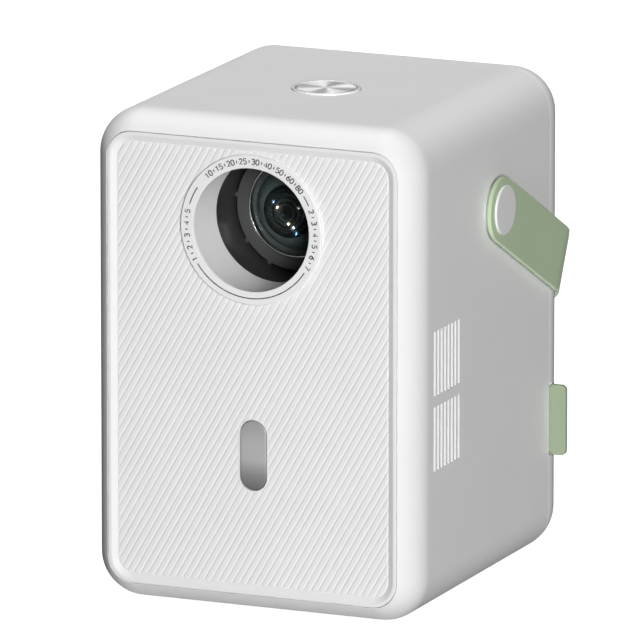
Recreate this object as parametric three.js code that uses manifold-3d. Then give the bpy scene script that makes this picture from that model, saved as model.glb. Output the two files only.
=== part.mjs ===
// Mini projector: rounded box housing with a ribbed front, a swinging strap handle,
// a push button on top, a dust filter that slides out at the side, and the light path inside.
// Millimetres, +Z up, front towards -Y. The origin is the centre of the bounding box at the floor.
import * as THREE from 'three';
import { mergeVertices } from 'three/addons/utils/BufferGeometryUtils.js';
import Module from 'manifold-3d';

const wasm = await Module();
wasm.setup();

// ---------- driving dimensions ----------
const FOOT = 1.2;            // how far the feet stand below the housing
const W = 143.3;             // housing width
const D = 167.6;             // housing depth, front and rear roundings complete
const H = 204;               // housing height
const R = 18.9;              // rounding of every housing edge
const WALL = 2.4;
const GAP = 0.3;             // gap between neighbouring pieces
const Z0 = FOOT, Z1 = FOOT + H, ZM = FOOT + H / 2;
const YF = -80.2;            // plane in which the front rounding stops at the panel
const Y_SEAM = 63.2;         // joint between shell and rear cover
const SEAM_INSET = R - Math.sqrt(R * R - (R - (D / 2 + YF)) ** 2);
const PANEL_X = W / 2 - SEAM_INSET;          // half width of the panel opening
const PANEL_Z = H / 2 - SEAM_INSET;          // half height of the panel opening
const PANEL_R = 10.7;

const LENS_Z = Z0 + 159.75;  // optical axis height
const RING_R = 30.95, RING_IN = 25.45, RING_FRONT = -80.7;
const BEZEL_Y = -35.6;       // front face of the lens barrel

const RIB_ANGLE = Math.PI / 3, RIB_PITCH = 2.722, RIB_H = 0.2, RIB_BASE = -79.0, RIB_PHASE = 2.1;
const PILL_X = 0.3, PILL_Z = Z0 + 66.05, PILL_W = 11.5, PILL_H = 28.8;

const BUTTON_X = 1.2, BUTTON_Y = -6.0;

const SLOT_W = 1.75, SLOT_PITCH = 3.59, SLOT_Y0 = -59.4, SLOT_N = 8;
const SLOT_GROUPS = [[Z0 + 61.75, Z0 + 88.4], [Z0 + 93.0, Z0 + 119.7]];

const PIVOT_Y = 3.0, PIVOT_Z = Z0 + 158.0;   // strap handle pivot
const STRAP_ANGLE = 26.8 * Math.PI / 180;    // how far the arms hang below level
const STRAP_W = 27.2, STRAP_T = 2.2, STRAP_BEND = 60, STRAP_STRAIGHT = 64.9;
const BOSS_T = 1.7, CAP_R = 10.25, CAP_T = 1.2, PIN_R = 4.0, PIN_HOLE = 4.08;

const TAB_Z0 = Z0 + 41.9, TAB_Z1 = Z0 + 71.7, TAB_REACH = 7.2;
const TRAY_Y0 = 63.6, TRAY_Y1 = 65.8;

const FAN_Z = 158, FAN_HALF = 35;

// ---------- shape helpers ----------
function solid(geo) {
  let g = geo.clone();
  g.deleteAttribute('normal');
  g.deleteAttribute('uv');
  g = mergeVertices(g, 1e-5);
  const p = g.attributes.position.array;
  let tri = Array.from(g.index.array);
  let vol = 0;
  const keep = [];
  for (let i = 0; i < tri.length; i += 3) {
    const a = tri[i], b = tri[i + 1], c = tri[i + 2];
    if (a === b || b === c || a === c) continue;
    keep.push(a, b, c);
    vol += (p[3 * a] * (p[3 * b + 1] * p[3 * c + 2] - p[3 * b + 2] * p[3 * c + 1])
      - p[3 * a + 1] * (p[3 * b] * p[3 * c + 2] - p[3 * b + 2] * p[3 * c])
      + p[3 * a + 2] * (p[3 * b] * p[3 * c + 1] - p[3 * b + 1] * p[3 * c]));
  }
  if (vol < 0) for (let i = 0; i < keep.length; i += 3) { const t = keep[i]; keep[i] = keep[i + 1]; keep[i + 1] = t; }
  return new wasm.Manifold(new wasm.Mesh({ numProp: 3, vertProperties: new Float32Array(p), triVerts: new Uint32Array(keep) }));
}
const V = (x, y, z) => new THREE.Vector3(x, y, z);
function box(x0, x1, y0, y1, z0, z1) {
  const g = new THREE.BoxGeometry(x1 - x0, y1 - y0, z1 - z0);
  g.translate((x0 + x1) / 2, (y0 + y1) / 2, (z0 + z1) / 2);
  return solid(g);
}
function basis(g, ax, ay, az) {
  g.applyMatrix4(new THREE.Matrix4().makeBasis(ax, ay, az));
  return g;
}
const EX = { bevelEnabled: false, curveSegments: 5 };
// shapes drawn in (x, z), run along y
function alongY(shape, y0, y1, opt = {}) {
  const g = new THREE.ExtrudeGeometry(shape, { ...EX, depth: y1 - y0, ...opt });
  basis(g, V(1, 0, 0), V(0, 0, 1), V(0, -1, 0));
  g.translate(0, y1, 0);
  return solid(g);
}
// shapes drawn in (x, y), run along z
function alongZ(shape, z0, z1, opt = {}) {
  const g = new THREE.ExtrudeGeometry(shape, { ...EX, depth: z1 - z0, ...opt });
  g.translate(0, 0, z0);
  return solid(g);
}
// shapes drawn in (y, z), run along x
function alongX(shape, x0, x1, opt = {}) {
  const g = new THREE.ExtrudeGeometry(shape, { ...EX, depth: x1 - x0, ...opt });
  basis(g, V(0, 1, 0), V(0, 0, 1), V(1, 0, 0));
  g.translate(x0, 0, 0);
  return solid(g);
}
function roundRect(cx, cy, hx, hy, r) {
  const s = new THREE.Shape();
  const x0 = cx - hx, x1 = cx + hx, y0 = cy - hy, y1 = cy + hy;
  s.moveTo(x0 + r, y0);
  s.lineTo(x1 - r, y0); s.absarc(x1 - r, y0 + r, r, -Math.PI / 2, 0, false);
  s.lineTo(x1, y1 - r); s.absarc(x1 - r, y1 - r, r, 0, Math.PI / 2, false);
  s.lineTo(x0 + r, y1); s.absarc(x0 + r, y1 - r, r, Math.PI / 2, Math.PI, false);
  s.lineTo(x0, y0 + r); s.absarc(x0 + r, y0 + r, r, Math.PI, 1.5 * Math.PI, false);
  return s;
}
function poly(pts) {
  const s = new THREE.Shape();
  s.moveTo(pts[0][0], pts[0][1]);
  for (let i = 1; i < pts.length; i++) s.lineTo(pts[i][0], pts[i][1]);
  return s;
}
// turned pieces about an axis parallel to y, at (x, z); profile is [radius, y]
function turnY(profile, cx, cz, n = 32) {
  const g = new THREE.LatheGeometry(profile.map(([r, y]) => new THREE.Vector2(r, y)), n);
  g.translate(cx, 0, cz);
  return solid(g);
}
// turned about an axis parallel to z; profile is [radius, z]
function turnZ(profile, cx, cy, n = 32) {
  const g = new THREE.LatheGeometry(profile.map(([r, y]) => new THREE.Vector2(r, y)), n);
  basis(g, V(1, 0, 0), V(0, 0, 1), V(0, -1, 0));
  g.translate(cx, cy, 0);
  return solid(g);
}
// turned about an axis parallel to x; profile is [radius, x]
function turnX(profile, cy, cz, n = 32) {
  const g = new THREE.LatheGeometry(profile.map(([r, y]) => new THREE.Vector2(r, y)), n);
  basis(g, V(0, 1, 0), V(1, 0, 0), V(0, 0, -1));
  g.translate(0, cy, cz);
  return solid(g);
}
const ring = (r0, r1, a, b) => [[r0, a], [r1, a], [r1, b], [r0, b], [r0, a]];
const rod = (r, a, b) => [[0, a], [r, a], [r, b], [0, b]];
const merge = (a) => a.reduce((p, q) => p.add(q));
const cut = (a, list) => list.reduce((p, q) => p.subtract(q), a);

// housing block with all edges rounded, shrunk by off on every side
function block(off) {
  const r = R - off, b = r - 0.08;
  const s = roundRect(0, ZM, W / 2 - off, H / 2 - off, r);
  const g = new THREE.ExtrudeGeometry(s, {
    depth: D - 2 * off - 2 * b, curveSegments: 5, bevelEnabled: true,
    bevelThickness: b, bevelSize: b, bevelOffset: -b, bevelSegments: 5,
  });
  basis(g, V(1, 0, 0), V(0, 0, 1), V(0, -1, 0));
  g.translate(0, (D - 2 * off - 2 * b) / 2, 0);
  return solid(g);
}

// ---------- piece list ----------
const pieces = [];
function piece(name, man, color, roughness, metalness = 0, extra = {}) {
  pieces.push({ name, man, color, roughness, metalness, extra });
  return man;
}

// ---------- housing ----------
const outer = block(0), inner = block(WALL);
const hollow = outer.subtract(inner);
const slotBars = (side) => {
  const out = [];
  for (const [z0, z1] of SLOT_GROUPS) for (let i = 0; i < SLOT_N; i++) {
    const y = SLOT_Y0 + SLOT_PITCH * i;
    out.push(side > 0 ? box(W / 2 - 4, W / 2 + 2, y - SLOT_W / 2, y + SLOT_W / 2, z0, z1)
      : box(-W / 2 - 2, -W / 2 + 4, y - SLOT_W / 2, y + SLOT_W / 2, z0, z1));
  }
  return merge(out);
};
const FEET = [[-48, -50], [48, -50], [-48, 50], [48, 50]];
const FOOT_R = 7;
let shell = hollow.intersect(box(-100, 100, YF, Y_SEAM - GAP / 2, -10, 300));
shell = cut(shell, [
  alongY(roundRect(0, ZM, PANEL_X, PANEL_Z, PANEL_R), -90, -60),
  slotBars(1), slotBars(-1),
  turnZ(rod(14.35, Z1 - 8, Z1 + 5), BUTTON_X, BUTTON_Y, 32),
  turnX(rod(PIN_R + 0.3, W / 2 - 8, W / 2 + 8), PIVOT_Y, PIVOT_Z, 24),
  turnX(rod(PIN_R + 0.3, -W / 2 - 8, -W / 2 + 8), PIVOT_Y, PIVOT_Z, 24),
  turnZ(rod(6.3, Z0 - 3, Z0 + 6), 0, 0, 24),
  ...FEET.map(([x, y]) => turnZ(rod(FOOT_R + GAP, Z0 - 3, Z0 + 1.3), x, y, 20)),
]);
piece('main_shell', shell, 0xe9e9e8, 0.5);

const GR_N = 15, GR_PITCH = 6.4, GR_W = 3.0;
const grille = [];
for (let i = 0; i < GR_N; i++) {
  const x = (i - (GR_N - 1) / 2) * GR_PITCH;
  grille.push(box(x - GR_W / 2, x + GR_W / 2, 70, 95, Z0 + 104, Z0 + 182));
  grille.push(box(x - GR_W / 2, x + GR_W / 2, 70, 95, Z0 + 44, Z0 + 70));
}
const PORT_Z0 = Z0 + 17, PORT_Z1 = Z0 + 32, PORT_X = 43;
let rear = hollow.intersect(box(-100, 100, Y_SEAM + GAP / 2, 100, -10, 300));
rear = cut(rear, [
  merge(grille),
  box(40, 100, Y_SEAM - 1, TRAY_Y1 + GAP, TAB_Z0 - GAP, TAB_Z1 + GAP),
  alongY(roundRect(0, (PORT_Z0 + PORT_Z1) / 2, PORT_X, (PORT_Z1 - PORT_Z0) / 2, 3), 70, 95),
  ...[-58, 58].map((x) => turnY(rod(3.0, 70, 95), x, Z0 + 88, 20)),
]);
piece('rear_cover', rear, 0xe6e6e5, 0.5);

// ---------- front panel with slanted ribs ----------
const PX = PANEL_X - GAP, PZ = PANEL_Z - GAP, PR = PANEL_R - GAP;
const LIP = 1.4, COVE = 2.5;
let panel = alongY(roundRect(0, ZM, PX, PZ, PR), YF, -76.6);
{
  const g = new THREE.ExtrudeGeometry(roundRect(0, ZM, PX - LIP, PZ - LIP, PR - LIP), {
    depth: 4, curveSegments: 5, bevelEnabled: true, bevelThickness: RIB_BASE - YF, bevelSize: COVE, bevelOffset: -COVE, bevelSegments: 1,
  });
  basis(g, V(1, 0, 0), V(0, 0, 1), V(0, -1, 0));
  g.translate(0, YF, 0);
  panel = panel.subtract(solid(g));
}
{
  const n = V(Math.sin(RIB_ANGLE), 0, -Math.cos(RIB_ANGLE));
  const u0 = RIB_PHASE - 45 * RIB_PITCH;
  const pts = [[u0, -1]];
  const count = Math.ceil(240 / RIB_PITCH);
  for (let i = 0; i < count; i++) {
    const u = u0 + i * RIB_PITCH;
    pts.push([u, RIB_H], [u + RIB_PITCH - 0.62, RIB_H], [u + RIB_PITCH - 0.2, 0.02]);
  }
  pts.push([u0 + count * RIB_PITCH, RIB_H], [u0 + count * RIB_PITCH, -1]);
  const g = new THREE.ExtrudeGeometry(poly(pts.reverse()), { ...EX, depth: 300 });
  basis(g, n, V(0, -1, 0), V(n.z, 0, -n.x));
  g.translate(-n.z * 150, RIB_BASE, n.x * 150 + ZM);
  const field = solid(g).intersect(alongY(roundRect(0, ZM, PX - LIP - COVE - 0.3, PZ - LIP - COVE - 0.3, 6.2), -85, -78));
  panel = panel.add(field);
}
const pill = (grow) => roundRect(PILL_X, PILL_Z, PILL_W / 2 + grow, PILL_H / 2 + grow, PILL_W / 2 + grow - 0.01);
panel = cut(panel, [
  turnY(rod(RING_R + GAP, -90, -70), 0, LENS_Z, 40),
  alongY(pill(GAP), -90, -70),
]);
piece('front_panel', panel, 0xeaeae9, 0.55);

piece('ir_window', alongY(pill(0), -79.15, -76.9), 0x8e8e90, 0.12);

// ---------- lens surround ----------
piece('lens_ring', turnY([[RING_IN, RING_FRONT + 0.15], [RING_IN + 0.2, RING_FRONT], [RING_R - 0.7, RING_FRONT], [RING_R - 0.1, RING_FRONT + 0.35],
  [RING_R, RING_FRONT + 0.9], [RING_R, -76.6], [RING_IN, -76.6], [RING_IN, RING_FRONT + 0.15]], 0, LENS_Z, 40), 0xf0f0ef, 0.45);
piece('lens_hood', turnY([[RING_IN, -76.3], [29.6, -76.3], [29.6, -74.4], [28.6, -74.0], [28.8, -52.9], [27.0, -52.9], [RING_IN, -76.3]], 0, LENS_Z, 36), 0xc9c9c8, 0.5);
const TUBE_IN = 26.95;
piece('baffle_tube', cut(turnY([[TUBE_IN, -52.6], [29.0, -52.6], [29.0, -5.6], [34.2, -5.6], [34.2, -2.6], [TUBE_IN, -2.6], [TUBE_IN, -52.6]], 0, LENS_Z, 36), [
]), 0x1f1f20, 0.55);
piece('lens_barrel', turnY([[20.65, BEZEL_Y + 0.5], [21.0, BEZEL_Y], [26.2, BEZEL_Y], [26.6, BEZEL_Y + 0.5], [26.6, -7.0], [17.0, -7.0], [17.0, -12.0], [15.5, -12.0],
  [15.5, -30.5], [19.0, -31.5], [20.65, -32.0], [20.65, BEZEL_Y + 0.5]], 0, LENS_Z, 36), 0x2e2e2f, 0.5);

const arc = (r, cy, a0, a1, n) => Array.from({ length: n + 1 }, (_, i) => {
  const t = a0 + (a1 - a0) * i / n;
  return [Math.max(r * Math.sin(t), 0), cy - r * Math.cos(t)];
});
const DOME_R = 21.1, DOME_C = BEZEL_Y + 0.9 + 7.5;      // outer sphere of the front element
const aEdge = Math.asin(19.6 / DOME_R), aIn = Math.asin(17.7 / (DOME_R - 2.2));
{
  const outerArc = arc(DOME_R, DOME_C, 0, aEdge, 7);
  const innerArc = arc(DOME_R - 2.2, DOME_C, aIn, 0, 6);
  piece('front_element', turnY([...outerArc, [19.6, -32.9], [17.7, -32.9], ...innerArc], 0, LENS_Z, 32), 0x8fa8a8, 0.03, 0, { transparent: true, opacity: 0.35 });
  piece('trim_ring', turnY(ring(19.85, 20.5, BEZEL_Y - 0.15, -32.6), 0, LENS_Z, 32), 0xb9bbbc, 0.25, 1);
  // dark cone just under the glass, with the small element in its nose
  const cr = DOME_R - 2.7;
  const a0 = Math.asin(9.4 / cr), a1 = Math.asin(17.2 / cr);
  const cone = arc(cr, DOME_C, a0, a1, 5);
  piece('inner_cell', turnY([...cone, [17.2, -32.9], [15.2, -32.9], [15.2, -20], [8.4, -20], [8.4, cone[0][1] + 1.8], [9.4, cone[0][1] + 1.8], cone[0]], 0, LENS_Z, 32), 0x39474a, 0.35);
  const ny = cone[0][1];
  piece('cell_ring', turnY(ring(7.9, 9.1, ny - 0.1, ny + 1.5), 0, LENS_Z, 24), 0x101112, 0.35);
  const r2 = 13.0, c2 = ny + 0.1 + Math.sqrt(r2 * r2 - 7.6 * 7.6);
  piece('second_element', turnY([...arc(r2, c2, 0, Math.asin(7.6 / r2), 4), [7.6, ny + 4.0], [0, ny + 3.2]], 0, LENS_Z, 24), 0x1c2426, 0.03, 0, { transparent: true, opacity: 0.5 });
  piece('aperture_stop', turnY(ring(3.9, 8.1, ny + 4.8, ny + 5.8), 0, LENS_Z, 20), 0x0b0b0c, 0.6);
}
piece('rear_element', turnY([[0, -16.5], ...arc(30, -15.5 + 30 - 1.5, 0.12, Math.asin(15.1 / 30), 4), [15.1, -9.5], [0, -9.5]].filter((p, i) => i !== 0).reduce((a, p) => { if (a.length === 0) a.push([0, p[1] - 0.2]); a.push(p); return a; }, []), 0, LENS_Z, 24), 0xa9bcbc, 0.03, 0, { transparent: true, opacity: 0.35 });

// ---------- focus drive ----------
function gearPoints(m, z, opt) {
  const { teeth, shift, rBody, play = 0.12 } = opt;
  const rp = m * z / 2, ra = rp + 0.9 * m, rb = rp * Math.cos(Math.PI / 9), rf = rp - 1.15 * m;
  const inv = (a) => Math.tan(a) - a;
  const half = Math.PI / (2 * z) - play / (2 * rp) + inv(Math.PI / 9);
  const flank = [];
  const r0 = Math.max(rb, rf + 0.1);
  for (let i = 0; i <= 2; i++) {
    const r = r0 + (ra - r0) * i / 2;
    flank.push([r, half - inv(Math.acos(Math.min(1, rb / r)))]);
  }
  const pts = [];
  for (let k = 0; k < z; k++) {
    const c = shift + k * 2 * Math.PI / z;
    if (!teeth(k)) { pts.push([rBody * Math.cos(c), rBody * Math.sin(c)]); continue; }
    pts.push([rf * Math.cos(c - flank[0][1] * 1.02), rf * Math.sin(c - flank[0][1] * 1.02)]);
    for (const [r, a] of flank) pts.push([r * Math.cos(c - a), r * Math.sin(c - a)]);
    for (const [r, a] of [...flank].reverse()) pts.push([r * Math.cos(c + a), r * Math.sin(c + a)]);
    pts.push([rf * Math.cos(c + flank[0][1] * 1.02), rf * Math.sin(c + flank[0][1] * 1.02)]);
  }
  return pts;
}
const GM = 1, GZ = 66, PZT = 14;
const G_DIR = -Math.PI / 4;                      // from the lens axis towards the pinion
const PIN_CX = (GM * (GZ + PZT) / 2) * Math.cos(G_DIR), PIN_CZ = LENS_Z + (GM * (GZ + PZT) / 2) * Math.sin(G_DIR);
{
  const gp = gearPoints(GM, GZ, { teeth: (k) => { const a = Math.min(k, GZ - k); return a <= 10; }, shift: G_DIR, rBody: 31.6 });
  const s = poly(gp.map(([x, y]) => [x, y + LENS_Z]));
  piece('focus_gear', alongY(s, -21, -16).subtract(turnY(rod(29.4, -30, -10), 0, LENS_Z, 36)), 0xb08d4a, 0.35, 1);
  const pp = gearPoints(GM, PZT, { teeth: () => true, shift: G_DIR + Math.PI + Math.PI / PZT, rBody: 5 });
  piece('focus_pinion', alongY(poly(pp.map(([x, y]) => [x + PIN_CX, y + PIN_CZ])), -21.5, -15.5)
    .subtract(turnY(rod(1.08, -30, -10), PIN_CX, PIN_CZ, 16)), 0xe3dfc9, 0.5);
  piece('focus_motor', merge([
    turnY(rod(7.5, -13.9, -6.4), PIN_CX + 0, PIN_CZ, 24),
    turnY(rod(1.0, -22.5, -13.5), PIN_CX, PIN_CZ, 16),
  ]), 0xa8aaac, 0.35, 1);
}

// ---------- light engine ----------
const EX_ = 36, EZ0 = 127, EZ1 = 194.8;
piece('engine_housing', cut(box(-EX_, EX_, -2.3, 26, EZ0, EZ1), [
  box(-EX_ + 2.2, EX_ - 2.2, 0.2, 30, EZ0 + 2.2, EZ1 - 2.2),
  turnY(rod(25, -10, 5), 0, LENS_Z, 24),
]), 0x2a2b2d, 0.6);
piece('field_lens', box(-31, 31, 1.2, 3.2, EZ0 + 5.5, EZ1 - 5.5), 0xc6d3d6, 0.05, 0, { transparent: true, opacity: 0.4 });
piece('lcd_panel', merge([box(-32, 32, 5, 7.4, EZ0 + 4.5, EZ1 - 4.5), box(-14, 14, 7.3, 7.9, EZ0 + 2.7, EZ0 + 6)]), 0x14161a, 0.15);
piece('condenser_lens', turnY([[0, 11.0], ...arc(42, 11.0 + 42, 0.15, Math.asin(27 / 42), 3), [27, 20.6], [0, 20.6]], 0, (EZ0 + EZ1) / 2, 24), 0xc2d0d3, 0.05, 0, { transparent: true, opacity: 0.4 });
piece('led_module', merge([box(-20, 20, 24.6, 26.6, 141, 181), box(-6, 6, 23.0, 24.8, 155, 167)]), 0xdadcd6, 0.4);
{
  const fins = [box(-34, 34, 26.9, 31, 124, 194)];
  for (let i = 0; i < 14; i++) { const x = -33 + i * (64.6 / 13); fins.push(box(x, x + 1.4, 30.5, 45.8, 124, 194)); }
  piece('heatsink', merge(fins), 0xb4b6b8, 0.35, 1);
}
{
  const f0 = 47, f1 = 60.5;
  let frame = cut(alongY(roundRect(0, FAN_Z, FAN_HALF, FAN_HALF, 4), f0, f1), [
    turnY(rod(33, f0 - 5, f1 - 1.6), 0, FAN_Z, 28),
    turnY(ring(14.5, 32, f1 - 3, f1 + 3), 0, FAN_Z, 28),
    ...[[-1, -1], [1, -1], [-1, 1], [1, 1]].map(([a, b]) => turnY(rod(2.1, f0 - 3, f1 + 3), a * 30.8, FAN_Z + b * 30.8, 8)),
  ]);
  const struts = [0, 1, 2, 3].map((k) => {
    const g = new THREE.BoxGeometry(19.5, 1.5, 3);
    g.translate(23.3, f1 - 0.75, 0);
    g.rotateY(Math.PI / 4 + k * Math.PI / 2);
    g.translate(0, 0, FAN_Z);
    return solid(g);
  });
  frame = merge([frame, ...struts, turnY(rod(14.6, f1 - 1.5, f1), 0, FAN_Z, 20), turnY(rod(1.5, f1 - 7, f1 - 0.5), 0, FAN_Z, 16)]);
  piece('fan_frame', frame, 0x232325, 0.6);
  const blades = [];
  for (let k = 0; k < 7; k++) {
    const g = new THREE.BoxGeometry(18.5, 13.2, 1.3);
    g.rotateX(0.72);
    g.translate(22.6, 0, 0);
    g.rotateY(k * 2 * Math.PI / 7);
    g.translate(0, f0 + 5.9, FAN_Z);
    blades.push(solid(g));
  }
  let rotor = merge([turnY([[0, f0 + 0.4], [12.8, f0 + 0.4], [13.8, f0 + 1.4], [13.8, f1 - 2.0], [0, f1 - 2.0]], 0, FAN_Z, 20), ...blades]);
  rotor = rotor.intersect(turnY(rod(32.2, f0 + 0.4, f1 - 2.0), 0, FAN_Z, 28)).subtract(turnY(rod(1.58, f1 - 7.6, f1 + 3), 0, FAN_Z, 16));
  piece('fan_rotor', rotor, 0x1b1b1d, 0.5);
}

// ---------- top button ----------
piece('button_bezel', turnZ([[12.75, Z1 - 2.2], [14.05, Z1 - 2.2], [14.05, Z1 + 0.35], [13.75, Z1 + 0.6], [13.0, Z1 + 0.6], [12.75, Z1 + 0.35], [12.75, Z1 - 2.2]], BUTTON_X, BUTTON_Y, 32), 0xf4f4f3, 0.3);
piece('power_button', turnZ([[0, Z1 - 5.0], [3, Z1 - 5.0], [3, Z1 - 2.8], [12.45, Z1 - 2.8], [12.45, Z1 + 0.05], [11.7, Z1 + 0.45], [0, Z1 + 0.45]], BUTTON_X, BUTTON_Y, 32), 0xb9babb, 0.25, 1);
piece('button_board', merge([box(BUTTON_X - 15, BUTTON_X + 15, BUTTON_Y - 11, BUTTON_Y + 11, Z1 - 9.0, Z1 - 7.4), box(BUTTON_X - 3, BUTTON_X + 3, BUTTON_Y - 3, BUTTON_Y + 3, Z1 - 7.5, Z1 - 6.1)]), 0x1f5a3c, 0.5);

// ---------- strap handle ----------
const XO = W / 2 + BOSS_T + 0.3 + STRAP_T;       // outer face of the arms
{
  // outline in (x, along the arm), then run across the strap's width
  const o = [], inn = [];
  const nb = 10, sEnd = STRAP_STRAIGHT, rb = STRAP_BEND, ri = rb - STRAP_T;
  for (let i = 0; i <= nb; i++) {
    const a = (Math.PI / 2) * i / nb;
    o.push([XO - rb * (1 - Math.cos(a)), sEnd + rb * Math.sin(a)]);
    inn.push([XO - rb + ri * Math.cos(a), sEnd + ri * Math.sin(a)]);
  }
  const right = [[XO - STRAP_T, -STRAP_W], [XO, -STRAP_W], ...o];
  const left = [...o].reverse().map(([x, s]) => [-x, s]);
  const pts = [...right, ...left, [-XO, -STRAP_W], [-XO + STRAP_T, -STRAP_W], ...inn.map(([x, s]) => [-x, s]), ...[...inn].reverse()];
  const g = new THREE.ExtrudeGeometry(poly(pts), { ...EX, depth: STRAP_W });
  g.translate(0, 0, -STRAP_W / 2);               // (x, s, n)
  let strap = solid(g);
  const side = new THREE.Shape();                // (s, n) outline: round end at the pivot
  side.moveTo(0, -STRAP_W / 2);
  side.lineTo(STRAP_STRAIGHT + STRAP_BEND + 5, -STRAP_W / 2);
  side.lineTo(STRAP_STRAIGHT + STRAP_BEND + 5, STRAP_W / 2);
  side.lineTo(0, STRAP_W / 2);
  side.absarc(0, 0, STRAP_W / 2, Math.PI / 2, 1.5 * Math.PI, false);
  const sg = new THREE.ExtrudeGeometry(side, { bevelEnabled: false, depth: 200, curveSegments: 14 });
  basis(sg, V(0, 1, 0), V(0, 0, 1), V(1, 0, 0));
  sg.translate(-100, 0, 0);
  strap = strap.intersect(solid(sg)).subtract(turnX(rod(PIN_HOLE, -100, 100), 0, 0, 32));
  // (x, s, n) to the body: s runs back and down, n runs up
  const c = Math.cos(STRAP_ANGLE), s = Math.sin(STRAP_ANGLE);
  strap = strap.transform([1, 0, 0, 0, 0, c, -s, 0, 0, s, c, 0, 0, PIVOT_Y, PIVOT_Z, 1]);
  piece('strap_handle', strap, 0x92a385, 0.6);
}
for (const [side, k] of [['right', 1], ['left', -1]]) {
  const p = (prof) => turnX(prof.map(([r, x]) => [r, k * x]), PIVOT_Y, PIVOT_Z, 28);
  const x0 = W / 2;
  piece(`handle_boss_${side}`, p(ring(PIN_R + 0.3, 12.4, x0 + 0.15, x0 + BOSS_T)), 0xdededd, 0.5);
  piece(`handle_cap_${side}`, p([[0, x0 - 5.2], [PIN_R, x0 - 5.2], [PIN_R, XO + 0.2], [CAP_R, XO + 0.2], [CAP_R, XO + CAP_T - 0.3], [CAP_R - 0.4, XO + CAP_T], [0, XO + CAP_T]]), 0xd2d2d1, 0.4);
}

// ---------- dust filter ----------
const TX1 = W / 2 - 0.9, TX0 = -58;
{
  const w0 = TX0 + 3, w1 = TX1 - 9, z0 = TAB_Z0 + 2.6, z1 = TAB_Z1 - 2.6;
  const cells = [];
  for (let i = 0; i < 4; i++) { const a = w0 + (w1 - w0) * i / 4 + (i ? 0.8 : 0), b = w0 + (w1 - w0) * (i + 1) / 4 - (i < 3 ? 0.8 : 0); cells.push(box(a, b, TRAY_Y0 - 1, TRAY_Y1 + 1, z0, z1)); }
  piece('filter_frame', cut(box(TX0, TX1, TRAY_Y0, TRAY_Y1, TAB_Z0, TAB_Z1), [...cells, box(w0 - 1.2, w1 + 1.2, TRAY_Y0 - 1, TRAY_Y0 + 0.9, z0 - 1.2, z1 + 1.2)]), 0xdcdcda, 0.5);
  piece('filter_mesh', box(w0 - 0.9, w1 + 0.9, TRAY_Y0, TRAY_Y0 + 0.6, z0 - 0.9, z1 + 0.9), 0x2c2c2e, 0.8);
  const s = new THREE.Shape();
  const xa = TX1 + GAP, xb = W / 2 + TAB_REACH, r = 2.2;
  s.moveTo(xa, TAB_Z0); s.lineTo(xb - r, TAB_Z0); s.absarc(xb - r, TAB_Z0 + r, r, -Math.PI / 2, 0, false);
  s.lineTo(xb, TAB_Z1 - r); s.absarc(xb - r, TAB_Z1 - r, r, 0, Math.PI / 2, false); s.lineTo(xa, TAB_Z1);
  piece('filter_tab', alongY(s, TRAY_Y0, TRAY_Y1), 0x9fae91, 0.6);
}

// ---------- speakers behind the side slots ----------
for (const [side, k] of [['right', 1], ['left', -1]]) {
  const bx = (a, b, ...r) => (k > 0 ? box(a, b, ...r) : box(-b, -a, ...r));
  piece(`side_mesh_${side}`, bx(67.9, 68.7, -63.6, -30.2, Z0 + 58.5, Z0 + 123), 0xf2f2f1, 0.7);
  const cy = -46.9, cz = Z0 + 90.7;
  const t = (prof, n = 20) => turnX(prof.map(([r, x]) => [r, k * x]), cy, cz, n);
  piece(`speaker_box_${side}`, cut(bx(44, 66.4, -65, -28.8, Z0 + 57.5, Z0 + 124), [t(rod(15.6, 48, 80)), bx(46, 64.4, -63, -30.8, Z0 + 59.5, Z0 + 122)]), 0x2a2a2c, 0.6);
  piece(`speaker_driver_${side}`, merge([t([[0, 50], [9, 50], [9, 57.5], [15.2, 63], [15.2, 65.6], [13.6, 65.6], [6, 60.5], [0, 60.5]])]), 0x1a1a1c, 0.5);
}

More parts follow.
